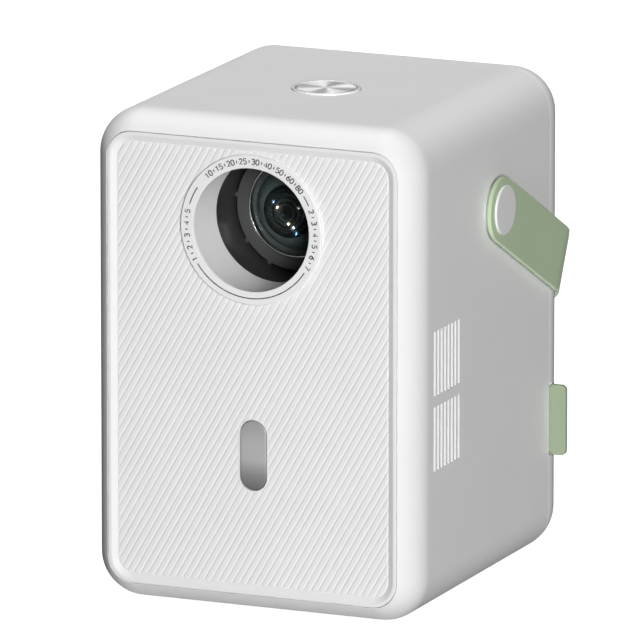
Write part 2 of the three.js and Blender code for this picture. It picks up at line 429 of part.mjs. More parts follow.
// ---------- boards and sockets ----------
piece('main_board', merge([
  box(-56, 56, -58, 61, 14, 15.6),
  box(-50, -30, -40, -16, 15.5, 18.5), box(24, 44, -44, -30, 15.5, 20), box(20, 46, -20, 4, 15.5, 18),
  ...[[-52, -54], [52, -54], [-52, 44], [52, 44]].map(([x, y]) => turnZ(rod(3, 3.8, 14.1), x, y, 12)),
]), 0x1d5c42, 0.5);
{
  const f = [box(-22, 14, -38, 0, 15.9, 19)];
  for (let i = 0; i < 8; i++) { const x = -22 + i * (34.6 / 7); f.push(box(x, x + 1.4, -38, 0, 18.5, 29)); }
  piece('chip_heatsink', merge(f), 0xa9abad, 0.4, 1);
}
piece('power_board', merge([
  box(-52, 52, 22, 23.6, 34, 108),
  box(-44, -14, 4, 22.1, 44, 70), turnY(rod(8, 2, 22.1), 6, 56, 20), turnY(rod(8, 2, 22.1), 26, 56, 20), box(-40, 38, 13, 22.1, 84, 96),
]), 0x23604a, 0.5);
{
  const PY = 80.6;
  const cz = (PORT_Z0 + PORT_Z1) / 2;
  const px = { hdmi: -26, usb: -3, audio: 15, dc: 30 };
  const bb = (x, hx, hz, y0, y1, dz = 0) => box(x - hx, x + hx, y0, y1, cz + dz - hz, cz + dz + hz);
  piece('port_plate', cut(alongY(roundRect(0, cz, PORT_X - GAP, (PORT_Z1 - PORT_Z0) / 2 - GAP, 2.7), PY - 1.6, PY), [
    bb(px.hdmi, 8.1, 3.3, 70, 90), bb(px.usb, 7.0, 3.6, 70, 90),
    turnY(rod(3.9, 70, 90), px.audio, cz, 20), turnY(rod(4.9, 70, 90), px.dc, cz, 20),
  ]), 0x3a3a3c, 0.6);
  const S0 = 68;
  piece('hdmi_socket', cut(bb(px.hdmi, 7.8, 3.0, S0, PY + 0.2), [bb(px.hdmi, 7.1, 2.2, S0 + 3, 95)]).add(bb(px.hdmi, 5.6, 0.5, S0 + 1, PY - 1)), 0x9fa1a3, 0.3, 1);
  piece('usb_socket', cut(bb(px.usb, 6.7, 3.3, S0, PY + 0.2), [bb(px.usb, 6.2, 2.6, S0 + 3, 95)]).add(bb(px.usb, 5.4, 0.7, S0 + 1, PY - 1, 1.2)), 0xa2a4a6, 0.3, 1);
  piece('audio_socket', turnY([[0, S0], [3.6, S0], [3.6, PY + 0.2], [1.8, PY + 0.2], [1.8, S0 + 4], [0, S0 + 4]], px.audio, cz, 20), 0x202022, 0.5);
  piece('dc_socket', turnY([[0, S0], [4.6, S0], [4.6, PY + 0.2], [2.9, PY + 0.2], [2.9, S0 + 4], [1.0, S0 + 4], [1.0, PY - 1], [0, PY - 1]], px.dc, cz, 20), 0x1c1c1e, 0.5);
}
piece('sensor_board', merge([box(-11, 11, -74.6, -73, Z0 + 46, Z0 + 86), box(-5, 5, -75.8, -74.5, Z0 + 52, Z0 + 58)]), 0x1f5a3c, 0.5);
piece('focus_camera', turnY(rod(3.6, -76.4, -74.9), PILL_X, Z0 + 72, 20), 0x101012, 0.15);

// ---------- base ----------
['front_left', 'front_right', 'rear_left', 'rear_right'].forEach((n, i) => {
  const [x, y] = FEET[i];
  piece(`foot_${n}`, turnZ([[0, 0], [FOOT_R - 0.5, 0], [FOOT_R, 0.5], [FOOT_R, Z0 + 1.0], [0, Z0 + 1.0]], x, y, 20), 0x3b3b3c, 0.8);
});
piece('tripod_insert', turnZ([[2.6, Z0 + 0.2], [6.0, Z0 + 0.2], [6.0, Z0 + 9], [0, Z0 + 9], [0, Z0 + 7.4], [2.6, Z0 + 7.4], [2.6, Z0 + 0.2]], 0, 0, 24), 0xb08d4a, 0.35, 1);
[['left', -58], ['right', 58]].forEach(([n, x]) => {
  piece(`cover_screw_${n}`, cut(turnY([[0, 68], [1.3, 68], [1.3, 80.6], [2.7, 80.6], [2.7, 82.4], [0, 82.4]], x, Z0 + 88, 20), [box(x - 1.6, x + 1.6, 81.6, 84, Z0 + 87.7, Z0 + 88.3), box(x - 0.3, x + 0.3, 81.6, 84, Z0 + 86.4, Z0 + 89.6)]), 0x8c8e90, 0.35, 1);
});

// ---------- assemble ----------
const lo = [1e9, 1e9, 1e9], hi = [-1e9, -1e9, -1e9];
for (const p of pieces) {
  const b = p.man.boundingBox();
  for (let i = 0; i < 3; i++) { lo[i] = Math.min(lo[i], b.min[i]); hi[i] = Math.max(hi[i], b.max[i]); }
}
const shift = [-(lo[0] + hi[0]) / 2, -(lo[1] + hi[1]) / 2, -lo[2]];
const group = new THREE.Group();
group.name = 'mini_projector';
for (const p of pieces) {
  const m = p.man.translate(shift).getMesh();
  const g = new THREE.BufferGeometry();
  g.setAttribute('position', new THREE.BufferAttribute(new Float32Array(m.vertProperties), 3));
  g.setIndex(new THREE.BufferAttribute(new Uint32Array(m.triVerts), 1));
  g.computeVertexNormals();
  const mesh = new THREE.Mesh(g, new THREE.MeshStandardMaterial({ color: p.color, roughness: p.roughness, metalness: p.metalness, ...p.extra }));
  mesh.name = p.name;
  group.add(mesh);
}
export default group;
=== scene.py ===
# Mini projector: the detailed look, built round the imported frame.
# Shapes are drawn in millimetres in the housing's own axes (x to the right, y to the rear,
# z up from the floor) and moved to the shared frame by W2().
import math
import bmesh
import bpy
import numpy as np
from mathutils import Matrix, Vector


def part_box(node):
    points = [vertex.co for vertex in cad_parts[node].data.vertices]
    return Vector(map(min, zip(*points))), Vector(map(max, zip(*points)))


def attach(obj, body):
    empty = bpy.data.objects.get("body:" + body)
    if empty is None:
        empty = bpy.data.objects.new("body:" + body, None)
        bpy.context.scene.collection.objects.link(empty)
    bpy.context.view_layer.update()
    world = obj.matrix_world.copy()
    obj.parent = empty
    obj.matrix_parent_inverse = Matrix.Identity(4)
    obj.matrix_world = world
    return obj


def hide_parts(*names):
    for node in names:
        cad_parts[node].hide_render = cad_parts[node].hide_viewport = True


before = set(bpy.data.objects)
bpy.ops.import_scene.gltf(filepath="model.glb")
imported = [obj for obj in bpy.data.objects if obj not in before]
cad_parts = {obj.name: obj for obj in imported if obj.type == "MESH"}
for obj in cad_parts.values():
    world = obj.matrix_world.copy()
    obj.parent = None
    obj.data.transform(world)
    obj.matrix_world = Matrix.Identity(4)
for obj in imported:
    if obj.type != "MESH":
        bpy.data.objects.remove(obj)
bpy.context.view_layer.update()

# ------------------------------------------------------------------ dimensions, mm
Z0, W, D, H, R, WALL = 1.2, 143.3, 167.6, 204.0, 18.9, 2.4
Z1, ZM = Z0 + H, Z0 + H / 2
YF, Y_SEAM = -80.2, 63.2
INSET = R - math.sqrt(R * R - (R - (D / 2 + YF)) ** 2)
PX, PZ, PR = W / 2 - INSET, H / 2 - INSET, R - INSET
LENS_Z = Z0 + 159.75
RING_R, RING_IN, RING_FRONT = 30.95, 25.45, -80.7
BEZEL_Y = -35.6
RIB_PITCH, RIB_BASE, RIB_PHASE, RIB_TOP = 2.722, -79.0, 1.69, 0.19
PILL_X, PILL_Z, PILL_W, PILL_H = 0.3, Z0 + 66.05, 11.5, 28.8
BUTTON_X, BUTTON_Y = 1.2, -6.0
SLOT_W, SLOT_PITCH, SLOT_Y0, SLOT_N = 1.75, 3.59, -59.4, 8
SLOT_GROUPS = [(Z0 + 61.75, Z0 + 88.4), (Z0 + 93.0, Z0 + 119.7)]
PIVOT_Y, PIVOT_Z = 3.0, Z0 + 158.0
STRAP_ANGLE = math.radians(26.8)
STRAP_W, STRAP_T, STRAP_BEND, STRAP_STRAIGHT = 27.2, 2.2, 60.0, 64.9
BOSS_T, CAP_R, CAP_T, PIN_R = 1.7, 10.25, 1.2, 4.0
XO = W / 2 + BOSS_T + 0.3 + STRAP_T
TAB_Z0, TAB_Z1, TAB_REACH, TRAY_Y0, TRAY_Y1 = Z0 + 41.9, Z0 + 71.7, 7.2, 63.6, 65.8
FEET = [("foot_front_left", -48, -50), ("foot_front_right", 48, -50), ("foot_rear_left", -48, 50), ("foot_rear_right", 48, 50)]

_lo, _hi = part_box("lens_ring")
DX, DY = (_lo.x + _hi.x) * 500, _lo.y * 1000 - RING_FRONT


def W2(pts):
    a = np.asarray(pts, float).reshape(-1, 3)
    return (a + [DX, DY, 0.0]) / 1000.0


def V3(x, y, z):
    return Vector(W2([(x, y, z)])[0])


# ------------------------------------------------------------------ mesh helpers
def rrect(hx, hy, r, k=10, cx=0.0, cy=0.0):
    r = max(min(r, hx, hy), 0.01)
    pts = []
    for sx, sy, a0 in ((1, -1, -90), (1, 1, 0), (-1, 1, 90), (-1, -1, 180)):
        for i in range(k + 1):
            a = math.radians(a0 + 90.0 * i / k)
            pts.append((cx + sx * (hx - r) + r * math.cos(a), cy + sy * (hy - r) + r * math.sin(a)))
    return pts


def fil(pts, closed=True, k=4):
    """A polyline with the corners that carry a third number rounded by that radius."""
    out, n = [], len(pts)
    for i, p in enumerate(pts):
        rad = p[2] if len(p) > 2 else 0
        if rad <= 0 or (not closed and i in (0, n - 1)):
            out.append((p[0], p[1]))
            continue
        c0, a, b = np.array(p[:2], float), np.array(pts[i - 1][:2], float), np.array(pts[(i + 1) % n][:2], float)
        la, lb = np.linalg.norm(a - c0), np.linalg.norm(b - c0)
        u, v = (a - c0) / la, (b - c0) / lb
        ang = math.acos(max(-1.0, min(1.0, float(u @ v))))
        if ang > math.pi - 1e-3:
            out.append((p[0], p[1]))
            continue
        t = min(rad / math.tan(ang / 2), 0.48 * la, 0.48 * lb)
        rad = t * math.tan(ang / 2)
        w = (u + v) / np.linalg.norm(u + v)
        c = c0 + w * rad / math.sin(ang / 2)
        s, e = c0 + u * t - c, c0 + v * t - c
        a0, a1 = math.atan2(s[1], s[0]), math.atan2(e[1], e[0])
        da = (a1 - a0 + math.pi) % (2 * math.pi) - math.pi
        for j in range(k + 1):
            q = a0 + da * j / k
            out.append((c[0] + rad * math.cos(q), c[1] + rad * math.sin(q)))
    return out


AX = {"y": lambda u, v, h: (u, h, v), "z": lambda u, v, h: (u, v, h), "x": lambda u, v, h: (h, u, v)}


def place(ring, h, axis):
    f = AX[axis]
    return [f(u, v, h) for u, v in ring]


def skin(rings, cap=(True, True), loop=False):
    n, m = len(rings[0]), len(rings)
    verts = [p for r in rings for p in r]
    faces = []
    for i in range(m if loop else m - 1):
        a, b = i * n, ((i + 1) % m) * n
        for j in range(n):
            k = (j + 1) % n
            faces.append((a + j, a + k, b + k, b + j))
    if not loop:
        if cap[0]:
            faces.append(tuple(range(n - 1, -1, -1)))
        if cap[1]:
            faces.append(tuple(range((m - 1) * n, m * n)))
    return verts, faces


def lathe(profile, cx, cz, n=128, axis="y"):
    """A closed profile of (radius, along) turned about an axis; points at radius 0 close it."""
    rings = []
    for r, h in profile:
        rr = max(r, 0.0)
        ring = [(cx + rr * math.cos(2 * math.pi * i / n), cz + rr * math.sin(2 * math.pi * i / n)) for i in range(n)]
        rings.append(place(ring, h, axis))
    ends = profile[0][0] < 1e-6 and profile[-1][0] < 1e-6
    return skin(rings, cap=(False, False), loop=not ends)


def join(*parts):
    verts, faces = [], []
    for v, f in parts:
        o = len(verts)
        verts += list(v)
        faces += [tuple(i + o for i in q) for q in f]
    return verts, faces


def box(x0, x1, y0, y1, z0, z1):
    v = [(x, y, z) for x in (x0, x1) for y in (y0, y1) for z in (z0, z1)]
    return v, [(0, 1, 3, 2), (4, 6, 7, 5), (0, 4, 5, 1), (2, 3, 7, 6), (0, 2, 6, 4), (1, 5, 7, 3)]


def to_mesh(name, part):
    verts, faces = part
    me = bpy.data.meshes.new(name)
    me.from_pydata(W2(verts).tolist(), [], faces)
    bm = bmesh.new()
    bm.from_mesh(me)
    bmesh.ops.remove_doubles(bm, verts=bm.verts, dist=2e-7)
    bmesh.ops.dissolve_degenerate(bm, edges=bm.edges, dist=1e-8)
    bmesh.ops.recalc_face_normals(bm, faces=bm.faces)
    bm.to_mesh(me)
    bm.free()
    return me


def shade(me, angle=32.0):
    bm = bmesh.new()
    bm.from_mesh(me)
    lim = math.radians(angle)
    for f in bm.faces:
        f.smooth = True
    for e in bm.edges:
        e.smooth = len(e.link_faces) == 2 and e.calc_face_angle(0.0) < lim
    bm.to_mesh(me)
    bm.free()
    me.update()


def add(name, me, mat, body, replaces=(), weighted=True, angle=32.0, do_shade=True):
    ob = bpy.data.objects.new(name, me)
    bpy.context.scene.collection.objects.link(ob)
    if do_shade:
        shade(me, angle)
    me.materials.clear()
    me.materials.append(mat)
    if weighted:
        m = ob.modifiers.new("even_normals", "WEIGHTED_NORMAL")
        m.keep_sharp = True
        m.weight = 60
    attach(ob, body)
    if replaces:
        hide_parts(*replaces)
    return ob


def carve(me, cutter_parts, solver="EXACT"):
    """The mesh less the cutters, which don't touch each other."""
    ob = bpy.data.objects.new("tmp_body", me)
    cu = bpy.data.objects.new("tmp_cut", to_mesh("tmp_cut", join(*cutter_parts)))
    for o in (ob, cu):
        bpy.context.scene.collection.objects.link(o)
    m = ob.modifiers.new("cut", "BOOLEAN")
    m.object, m.operation, m.solver = cu, "DIFFERENCE", solver
    bpy.context.view_layer.update()
    dg = bpy.context.evaluated_depsgraph_get()
    out = bpy.data.meshes.new_from_object(ob.evaluated_get(dg))
    out.name = me.name + "_cut"
    for o in (ob, cu):
        data = o.data
        bpy.data.objects.remove(o)
        bpy.data.meshes.remove(data)
    return out


def bar(h0, h1, hu, hv, r, cu, cv, axis, flare=None, at=None, k=4):
    """A cutter with rounded corners; flare widens it where it passes the surface at height at."""
    hs = [h0, h1] if flare is None else [h0, at - math.copysign(flare, h1 - h0), at, at + math.copysign(flare, h1 - h0), h1]
    gs = [0, 0] if flare is None else [0, 0, flare, 2 * flare, 2 * flare]
    return skin([place(rrect(hu + g, hv + g, r + g, k, cu, cv), h, axis) for h, g in zip(hs, gs)])


def rod(h0, h1, r, cu, cv, axis, flare=None, at=None, n=64):
    hs = [h0, h1] if flare is None else [h0, at - math.copysign(flare, h1 - h0), at, at + math.copysign(flare, h1 - h0), h1]
    gs = [0, 0] if flare is None else [0, 0, flare, 2 * flare, 2 * flare]
    rings = []
    for h, g in zip(hs, gs):
        rings.append(place([(cu + (r + g) * math.cos(2 * math.pi * i / n), cv + (r + g) * math.sin(2 * math.pi * i / n)) for i in range(n)], h, axis))
    return skin(rings)


def block_normals(me, inset=0.0):
    """Exact normals on the faces that lie on the housing's rounded outer surface."""
    r = R - inset
    co = np.zeros(len(me.vertices) * 3)
    me.vertices.foreach_get("co", co)
    co = co.reshape(-1, 3) * 1000 - [DX, DY, ZM]
    half = np.array([W / 2 - R, D / 2 - R, H / 2 - R])
    d = co - np.clip(co, -half, half)
    ln = np.linalg.norm(d, axis=1)
    on = np.abs(ln - r) < 0.03
    nv = d / np.maximum(ln, 1e-9)[:, None]
    loops = np.zeros((len(me.loops), 3))
    for p in me.polygons:
        vs = list(p.vertices)
        if all(on[v] for v in vs):
            m = nv[vs].sum(0)
            if float(np.dot(m / (np.linalg.norm(m) + 1e-9), p.normal)) > 0.9:
                for li in p.loop_indices:
                    loops[li] = nv[me.loops[li].vertex_index]
    me.normals_split_custom_set(loops.tolist())
    me.update()


# ------------------------------------------------------------------ materials
def srgb(v):
    v = v / 255.0
    return v / 12.92 if v <= 0.04045 else ((v + 0.055) / 1.055) ** 2.4


def col(r, g, b):
    return (srgb(r), srgb(g), srgb(b), 1.0)


class Nodes:
    def __init__(self, name):
        self.mat = bpy.data.materials.new(name)
        self.mat.use_nodes = True
        self.nt = self.mat.node_tree
        self.nt.nodes.clear()
        self.out = self.add("ShaderNodeOutputMaterial")

    def add(self, kind, **kw):
        n = self.nt.nodes.new(kind)
        for k, v in kw.items():
            setattr(n, k, v)
        return n

    def link(self, a, b):
        self.nt.links.new(a, b)

    def coords(self, scale=(1, 1, 1), rot=(0, 0, 0), loc=(0, 0, 0)):
        tc = self.add("ShaderNodeTexCoord")
        mp = self.add("ShaderNodeMapping")
        mp.inputs["Scale"].default_value = scale
        mp.inputs["Rotation"].default_value = rot
        mp.inputs["Location"].default_value = loc
        self.link(tc.outputs["Object"], mp.inputs["Vector"])
        return mp.outputs["Vector"]

    def noise(self, scale, detail=2.0, rough=0.5, vec=None, dist=0.0):
        n = self.add("ShaderNodeTexNoise")
        n.inputs["Scale"].default_value = scale
        n.inputs["Detail"].default_value = detail
        n.inputs["Roughness"].default_value = rough
        n.inputs["Distortion"].default_value = dist
        self.link(vec if vec is not None else self.coords(), n.inputs["Vector"])
        return n.outputs["Fac"]

    def ramp(self, fac, lo, hi, a=0.3, b=0.7):
        m = self.add("ShaderNodeMapRange")
        m.inputs["From Min"].default_value = a
        m.inputs["From Max"].default_value = b
        m.inputs["To Min"].default_value = lo
        m.inputs["To Max"].default_value = hi
        self.link(fac, m.inputs["Value"])
        return m.outputs["Result"]

    def mix(self, fac, a, b):
        m = self.add("ShaderNodeMix", data_type="RGBA")
        if hasattr(fac, "links") or hasattr(fac, "is_linked"):
            self.link(fac, m.inputs["Factor"])
        else:
            m.inputs["Factor"].default_value = fac
        for s, v in (("A", a), ("B", b)):
            sock = [i for i in m.inputs if i.name == s and i.type == "RGBA"][0]
            if isinstance(v, tuple):
                sock.default_value = v
            else:
                self.link(v, sock)
        return [o for o in m.outputs if o.type == "RGBA"][0]

    def math(self, op, a, b=None):
        m = self.add("ShaderNodeMath", operation=op)
        for i, v in enumerate((a, b)):
            if v is None:
                continue
            if isinstance(v, (int, float)):
                m.inputs[i].default_value = v
            else:
                self.link(v, m.inputs[i])
        return m.outputs[0]

    def bump(self, height, strength, distance, normal=None):
        b = self.add("ShaderNodeBump")
        b.inputs["Strength"].default_value = strength
        b.inputs["Distance"].default_value = distance
        self.link(height, b.inputs["Height"])
        if normal is not None:
            self.link(normal, b.inputs["Normal"])
        return b.outputs["Normal"]


def scale_col(c, f):
    return (min(c[0] * f, 1), min(c[1] * f, 1), min(c[2] * f, 1), 1.0)


def moulded(name, base, rough=0.5, var=0.02, grain=0.25, grain_mm=0.35, depth=0.00002, coat=0.0, coat_rough=0.15,
            spec=0.5, sheen=0.0, metal=0.0, speck=None, wear=0.0):
    """Moulded plastic, rubber or cast metal: slow shade variation, fine surface grain in colour, gloss and relief."""
    n = Nodes(name)
    p = n.add("ShaderNodeBsdfPrincipled")
    n.link(p.outputs[0], n.out.inputs["Surface"])
    slow = n.noise(28.0, 3.0, 0.55)
    fine = n.noise(1000.0 / grain_mm, 2.0, 0.6)
    c = n.mix(n.ramp(slow, 0.0, 1.0), scale_col(base, 1 - var), scale_col(base, 1 + var))
    c = n.mix(n.ramp(fine, 0.0, 0.35, 0.35, 0.75), c, scale_col(base, 1 - 2.2 * var))
    if speck is not None:
        sp = n.noise(1000.0 / 0.9, 1.0, 0.5)
        c = n.mix(n.ramp(sp, 0.0, 0.5, 0.62, 0.75), c, speck)
    if wear:
        g = n.add("ShaderNodeNewGeometry")
        edge = n.ramp(g.outputs["Pointiness"], 0.0, wear, 0.51, 0.58)
        c = n.mix(edge, c, scale_col(base, 1.35))
    n.link(c, p.inputs["Base Color"])
    n.link(n.ramp(n.noise(1000.0 / (grain_mm * 3), 2.0), rough - 0.05, rough + 0.06), p.inputs["Roughness"])
    n.link(n.bump(fine, grain, depth), p.inputs["Normal"])
    p.inputs["Metallic"].default_value = metal
    p.inputs["Specular IOR Level"].default_value = spec
    p.inputs["Coat Weight"].default_value = coat
    p.inputs["Coat Roughness"].default_value = coat_rough
    p.inputs["Sheen Weight"].default_value = sheen
    return n.mat


def turned(name, base, rough, pitch_mm, centre, axis, metal=1.0, aniso=0.0, var=0.05, depth=0.00001, strength=0.4, spec=0.5, fan=None):
    """A lathe-turned or moulded round face: fine circular lines about an axis."""
    n = Nodes(name)
    p = n.add("ShaderNodeBsdfPrincipled")
    n.link(p.outputs[0], n.out.inputs["Surface"])
    v = n.coords(loc=tuple(-x for x in centre))
    sep = n.add("ShaderNodeSeparateXYZ")
    n.link(v, sep.inputs[0])
    a, b = {"y": ("X", "Z"), "z": ("X", "Y"), "x": ("Y", "Z")}[axis]
    rr = n.math("SQRT", n.math("ADD", n.math("POWER", sep.outputs[a], 2.0), n.math("POWER", sep.outputs[b], 2.0)))
    wn = n.add("ShaderNodeTexNoise", noise_dimensions="1D")
    wn.inputs["Scale"].default_value = 1000.0 / pitch_mm
    wn.inputs["Detail"].default_value = 3.0
    n.link(rr, wn.inputs["W"])
    lines = wn.outputs["Fac"]
    slow = n.noise(60.0, 2.0)
    c = n.mix(n.ramp(lines, 0.0, 1.0), scale_col(base, 1 - var), scale_col(base, 1 + var))
    c = n.mix(n.ramp(slow, 0.0, 0.3), c, scale_col(base, 1 - var * 1.5))
    if fan:                               # painted highlight and shade: four pale and four dark fans about the centre stand in for the spun metal's reflections
        phase, dark = fan
        th = n.math("ARCTAN2", sep.outputs[b], sep.outputs[a])
        th = n.math("ADD", th, n.math("MULTIPLY", n.math("SINE", n.math("ADD", th, 0.7)), 0.10))
        w = n.math("COSINE", n.math("MULTIPLY", n.math("SUBTRACT", th, math.radians(phase)), 4.0))
        low = n.mix(n.ramp(lines, 0.0, 1.0), scale_col(base, dark * (1 - var)), scale_col(base, dark * (1 + var)))
        c = n.mix(n.ramp(w, 0.0, 1.0, -0.75, 0.75), low, c)
    n.link(c, p.inputs["Base Color"])
    n.link(n.ramp(lines, rough - 0.04, rough + 0.06), p.inputs["Roughness"])
    n.link(n.bump(lines, strength, depth), p.inputs["Normal"])
    p.inputs["Metallic"].default_value = metal
    p.inputs["Specular IOR Level"].default_value = spec
    if aniso:
        p.inputs["Anisotropic"].default_value = aniso
        t = n.add("ShaderNodeTangent", direction_type="RADIAL", axis=axis.upper())
        n.link(t.outputs[0], p.inputs["Tangent"])
        p.inputs["Anisotropic Rotation"].default_value = 0.25
    return n.mat


def coated_glass(name, tint, shine=(1, 1, 1, 1), ior=1.5, rough=0.02, boost=1.0, most=None):
    """Thin clear glass: mirrors by its Fresnel share, lets the rest through with a slight tint."""
    n = Nodes(name)
    tr = n.add("ShaderNodeBsdfTransparent")
    gl = n.add("ShaderNodeBsdfGlossy")
    fr = n.add("ShaderNodeFresnel")
    fr.inputs["IOR"].default_value = ior
    mx = n.add("ShaderNodeMixShader")
    dust = n.noise(1400.0, 2.0)
    n.link(n.mix(n.ramp(dust, 0.0, 0.05, 0.5, 0.8), tint, scale_col(tint, 0.9)), tr.inputs["Color"])
    gl.inputs["Color"].default_value = shine
    n.link(n.ramp(n.noise(300.0, 2.0), rough, rough + 0.02), gl.inputs["Roughness"])
    share = n.math("MULTIPLY", fr.outputs[0], boost) if boost != 1.0 else fr.outputs[0]
    n.link(n.math("MINIMUM", share, most) if most is not None else share, mx.inputs[0])
    n.link(tr.outputs[0], mx.inputs[1])
    n.link(gl.outputs[0], mx.inputs[2])
    n.link(mx.outputs[0], n.out.inputs["Surface"])
    return n.mat


# Grey levels along the radius of the dark lens pieces: the narrow paler steps are painted highlights.
PUPIL_PAINTED = ((0.0, 0.0110), (0.36, 0.0120), (0.43, 0.0420), (0.50, 0.0110), (0.62, 0.0100), (0.68, 0.0480), (0.74, 0.0120), (0.86, 0.0110), (0.92, 0.0450), (1.0, 0.0120))
NOSE_PAINTED = ((0.0, 0.0070), (0.715, 0.0080), (0.735, 0.0300), (0.755, 0.0070), (0.80, 0.0070), (0.82, 0.0340), (0.84, 0.0070), (0.965, 0.0080), (0.985, 0.0500), (1.0, 0.0070))


def ringed(name, centre, rings, reach, spec, rough):
    """Dark round pieces of the lens with fine paler rings about its axis, out to this radius in metres; the paler
    rings are painted highlights.
    """
    n = Nodes(name)
    p = n.add("ShaderNodeBsdfPrincipled")
    n.link(p.outputs[0], n.out.inputs["Surface"])
    v = n.coords(loc=tuple(-x for x in centre))
    sep = n.add("ShaderNodeSeparateXYZ")
    n.link(v, sep.inputs[0])
    rr = n.math("SQRT", n.math("ADD", n.math("POWER", sep.outputs["X"], 2.0), n.math("POWER", sep.outputs["Z"], 2.0)))
    cr = n.add("ShaderNodeValToRGB")
    for k, (pos, val) in enumerate(rings):
        e = cr.color_ramp.elements[k] if k < 2 else cr.color_ramp.elements.new(pos)
        e.position = pos
        e.color = (val * 0.85, val, val * 1.02, 1)
    n.link(n.ramp(rr, 0.0, 1.0, 0.0, reach), cr.inputs["Fac"])
    slow = n.noise(200.0, 2.0)
    n.link(n.mix(n.ramp(slow, 0.0, 0.2), cr.outputs["Color"], (0.004, 0.006, 0.006, 1)), p.inputs["Base Color"])
    n.link(n.ramp(n.noise(500.0, 2.0), rough, rough + 0.04), p.inputs["Roughness"])
    p.inputs["Specular IOR Level"].default_value = spec
    return n.mat


def woven(name, base, dark, pitch_mm):
    """A fine net, as on a dust filter."""
    n = Nodes(name)
    p = n.add("ShaderNodeBsdfPrincipled")
    n.link(p.outputs[0], n.out.inputs["Surface"])
    v = n.coords()
    waves = []
    for ax in ("X", "Z"):
        w = n.add("ShaderNodeTexWave", wave_type="BANDS", bands_direction=ax)
        w.inputs["Scale"].default_value = 1000.0 / pitch_mm / 3.2
        w.inputs["Distortion"].default_value = 0.3
        n.link(v, w.inputs["Vector"])
        waves.append(w.outputs["Fac"])
    m = n.math("MAXIMUM", waves[0], waves[1])
    n.link(n.mix(n.ramp(m, 0.0, 1.0, 0.4, 0.9), dark, base), p.inputs["Base Color"])
    n.link(n.ramp(m, 0.75, 0.6), p.inputs["Roughness"])
    n.link(n.bump(m, 0.6, 0.0001), p.inputs["Normal"])
    return n.mat


LC = tuple(W2([(0, 0, LENS_Z)])[0])
BC = tuple(W2([(BUTTON_X, BUTTON_Y, 0)])[0])
PILL_C = tuple(W2([(PILL_X, 0, PILL_Z)])[0])
FANC = tuple(W2([(0, 0, 158)])[0])

WHITE = (0.80, 0.80, 0.797, 1)
M = {}
M["shell"] = moulded("shell_white_plastic", WHITE, 0.46, 0.012, 0.16, 0.30, 0.000012, spec=0.25)
M["panel"] = moulded("panel_white_plastic", (0.80, 0.80, 0.797, 1), 0.55, 0.014, 0.55, 0.42, 0.00005, spec=0.25)
M["ring"] = moulded("ring_white_plastic", (0.83, 0.83, 0.825, 1), 0.38, 0.01, 0.12, 0.30, 0.00001, spec=0.45)
M["mark"] = moulded("ring_print_grey", (0.030, 0.030, 0.032, 1), 0.6, 0.05, 0.1, 0.3, 0.00001)
M["hood"] = turned("hood_grey_plastic", (0.90, 0.90, 0.897, 1), 0.5, 0.35, LC, "y", metal=0.0, var=0.02, depth=0.00001, strength=0.15, spec=0.4)
M["tube"] = turned("tube_black_plastic", (0.034, 0.034, 0.035, 1), 0.42, 0.8, LC, "y", metal=0.0, var=0.15, depth=0.00002, strength=0.3, spec=0.45)
M["barrel"] = turned("barrel_black_anodised", (0.056, 0.056, 0.057, 1), 0.5, 0.22, LC, "y", metal=0.0, var=0.12, depth=0.00003, strength=0.5, spec=0.36)
M["trim"] = turned("trim_ring_metal", (0.55, 0.57, 0.58, 1), 0.22, 0.12, LC, "y", metal=1.0, var=0.05, depth=0.000005, strength=0.2)
M["cell"] = turned("cell_coated_dark", (0.125, 0.152, 0.155, 1), 0.38, 0.35, LC, "y", metal=0.0, var=0.18, depth=0.00003, strength=0.5, spec=0.6)
M["cell_ring"] = ringed("cell_ring_black", LC, NOSE_PAINTED, 0.0112, 0.10, 0.5)
M["stop"] = turned("stop_black", (0.008, 0.010, 0.010, 1), 0.6, 0.3, LC, "y", metal=0.0, var=0.2, depth=0.00002, strength=0.3, spec=0.3)
M["glass_front"] = coated_glass("glass_front_coated", (0.93, 0.98, 0.97, 1), (0.80, 0.95, 0.95, 1), 1.22, rough=0.10, most=0.011)
M["glass_inner"] = coated_glass("glass_inner_clear", (0.96, 0.99, 0.98, 1), (0.8, 0.95, 0.95, 1), 1.22, rough=0.11, boost=0.0)
# The second element is drawn opaque: its near-black is painted shade in place of the dark seen through clear glass,
# and its paler rings are painted highlights.
M["glass_second"] = ringed("glass_second_dark", LC, PUPIL_PAINTED, 0.0078, 0.35, 0.14)
M["glass_rear"] = coated_glass("glass_rear_coated", (0.85, 0.92, 0.92, 1), (0.7, 0.9, 0.8, 1), 1.5)
M["dark_glass"] = moulded("dark_glass_screen", (0.02, 0.024, 0.027, 1), 0.08, 0.08, 0.02, 1.5, 0.000005, coat=0.6, coat_rough=0.04)
M["ir"] = moulded("ir_window_grey_gloss", (0.485, 0.485, 0.488, 1), 0.16, 0.02, 0.03, 2.5, 0.000006, coat=0.8, coat_rough=0.05, spec=0.6)
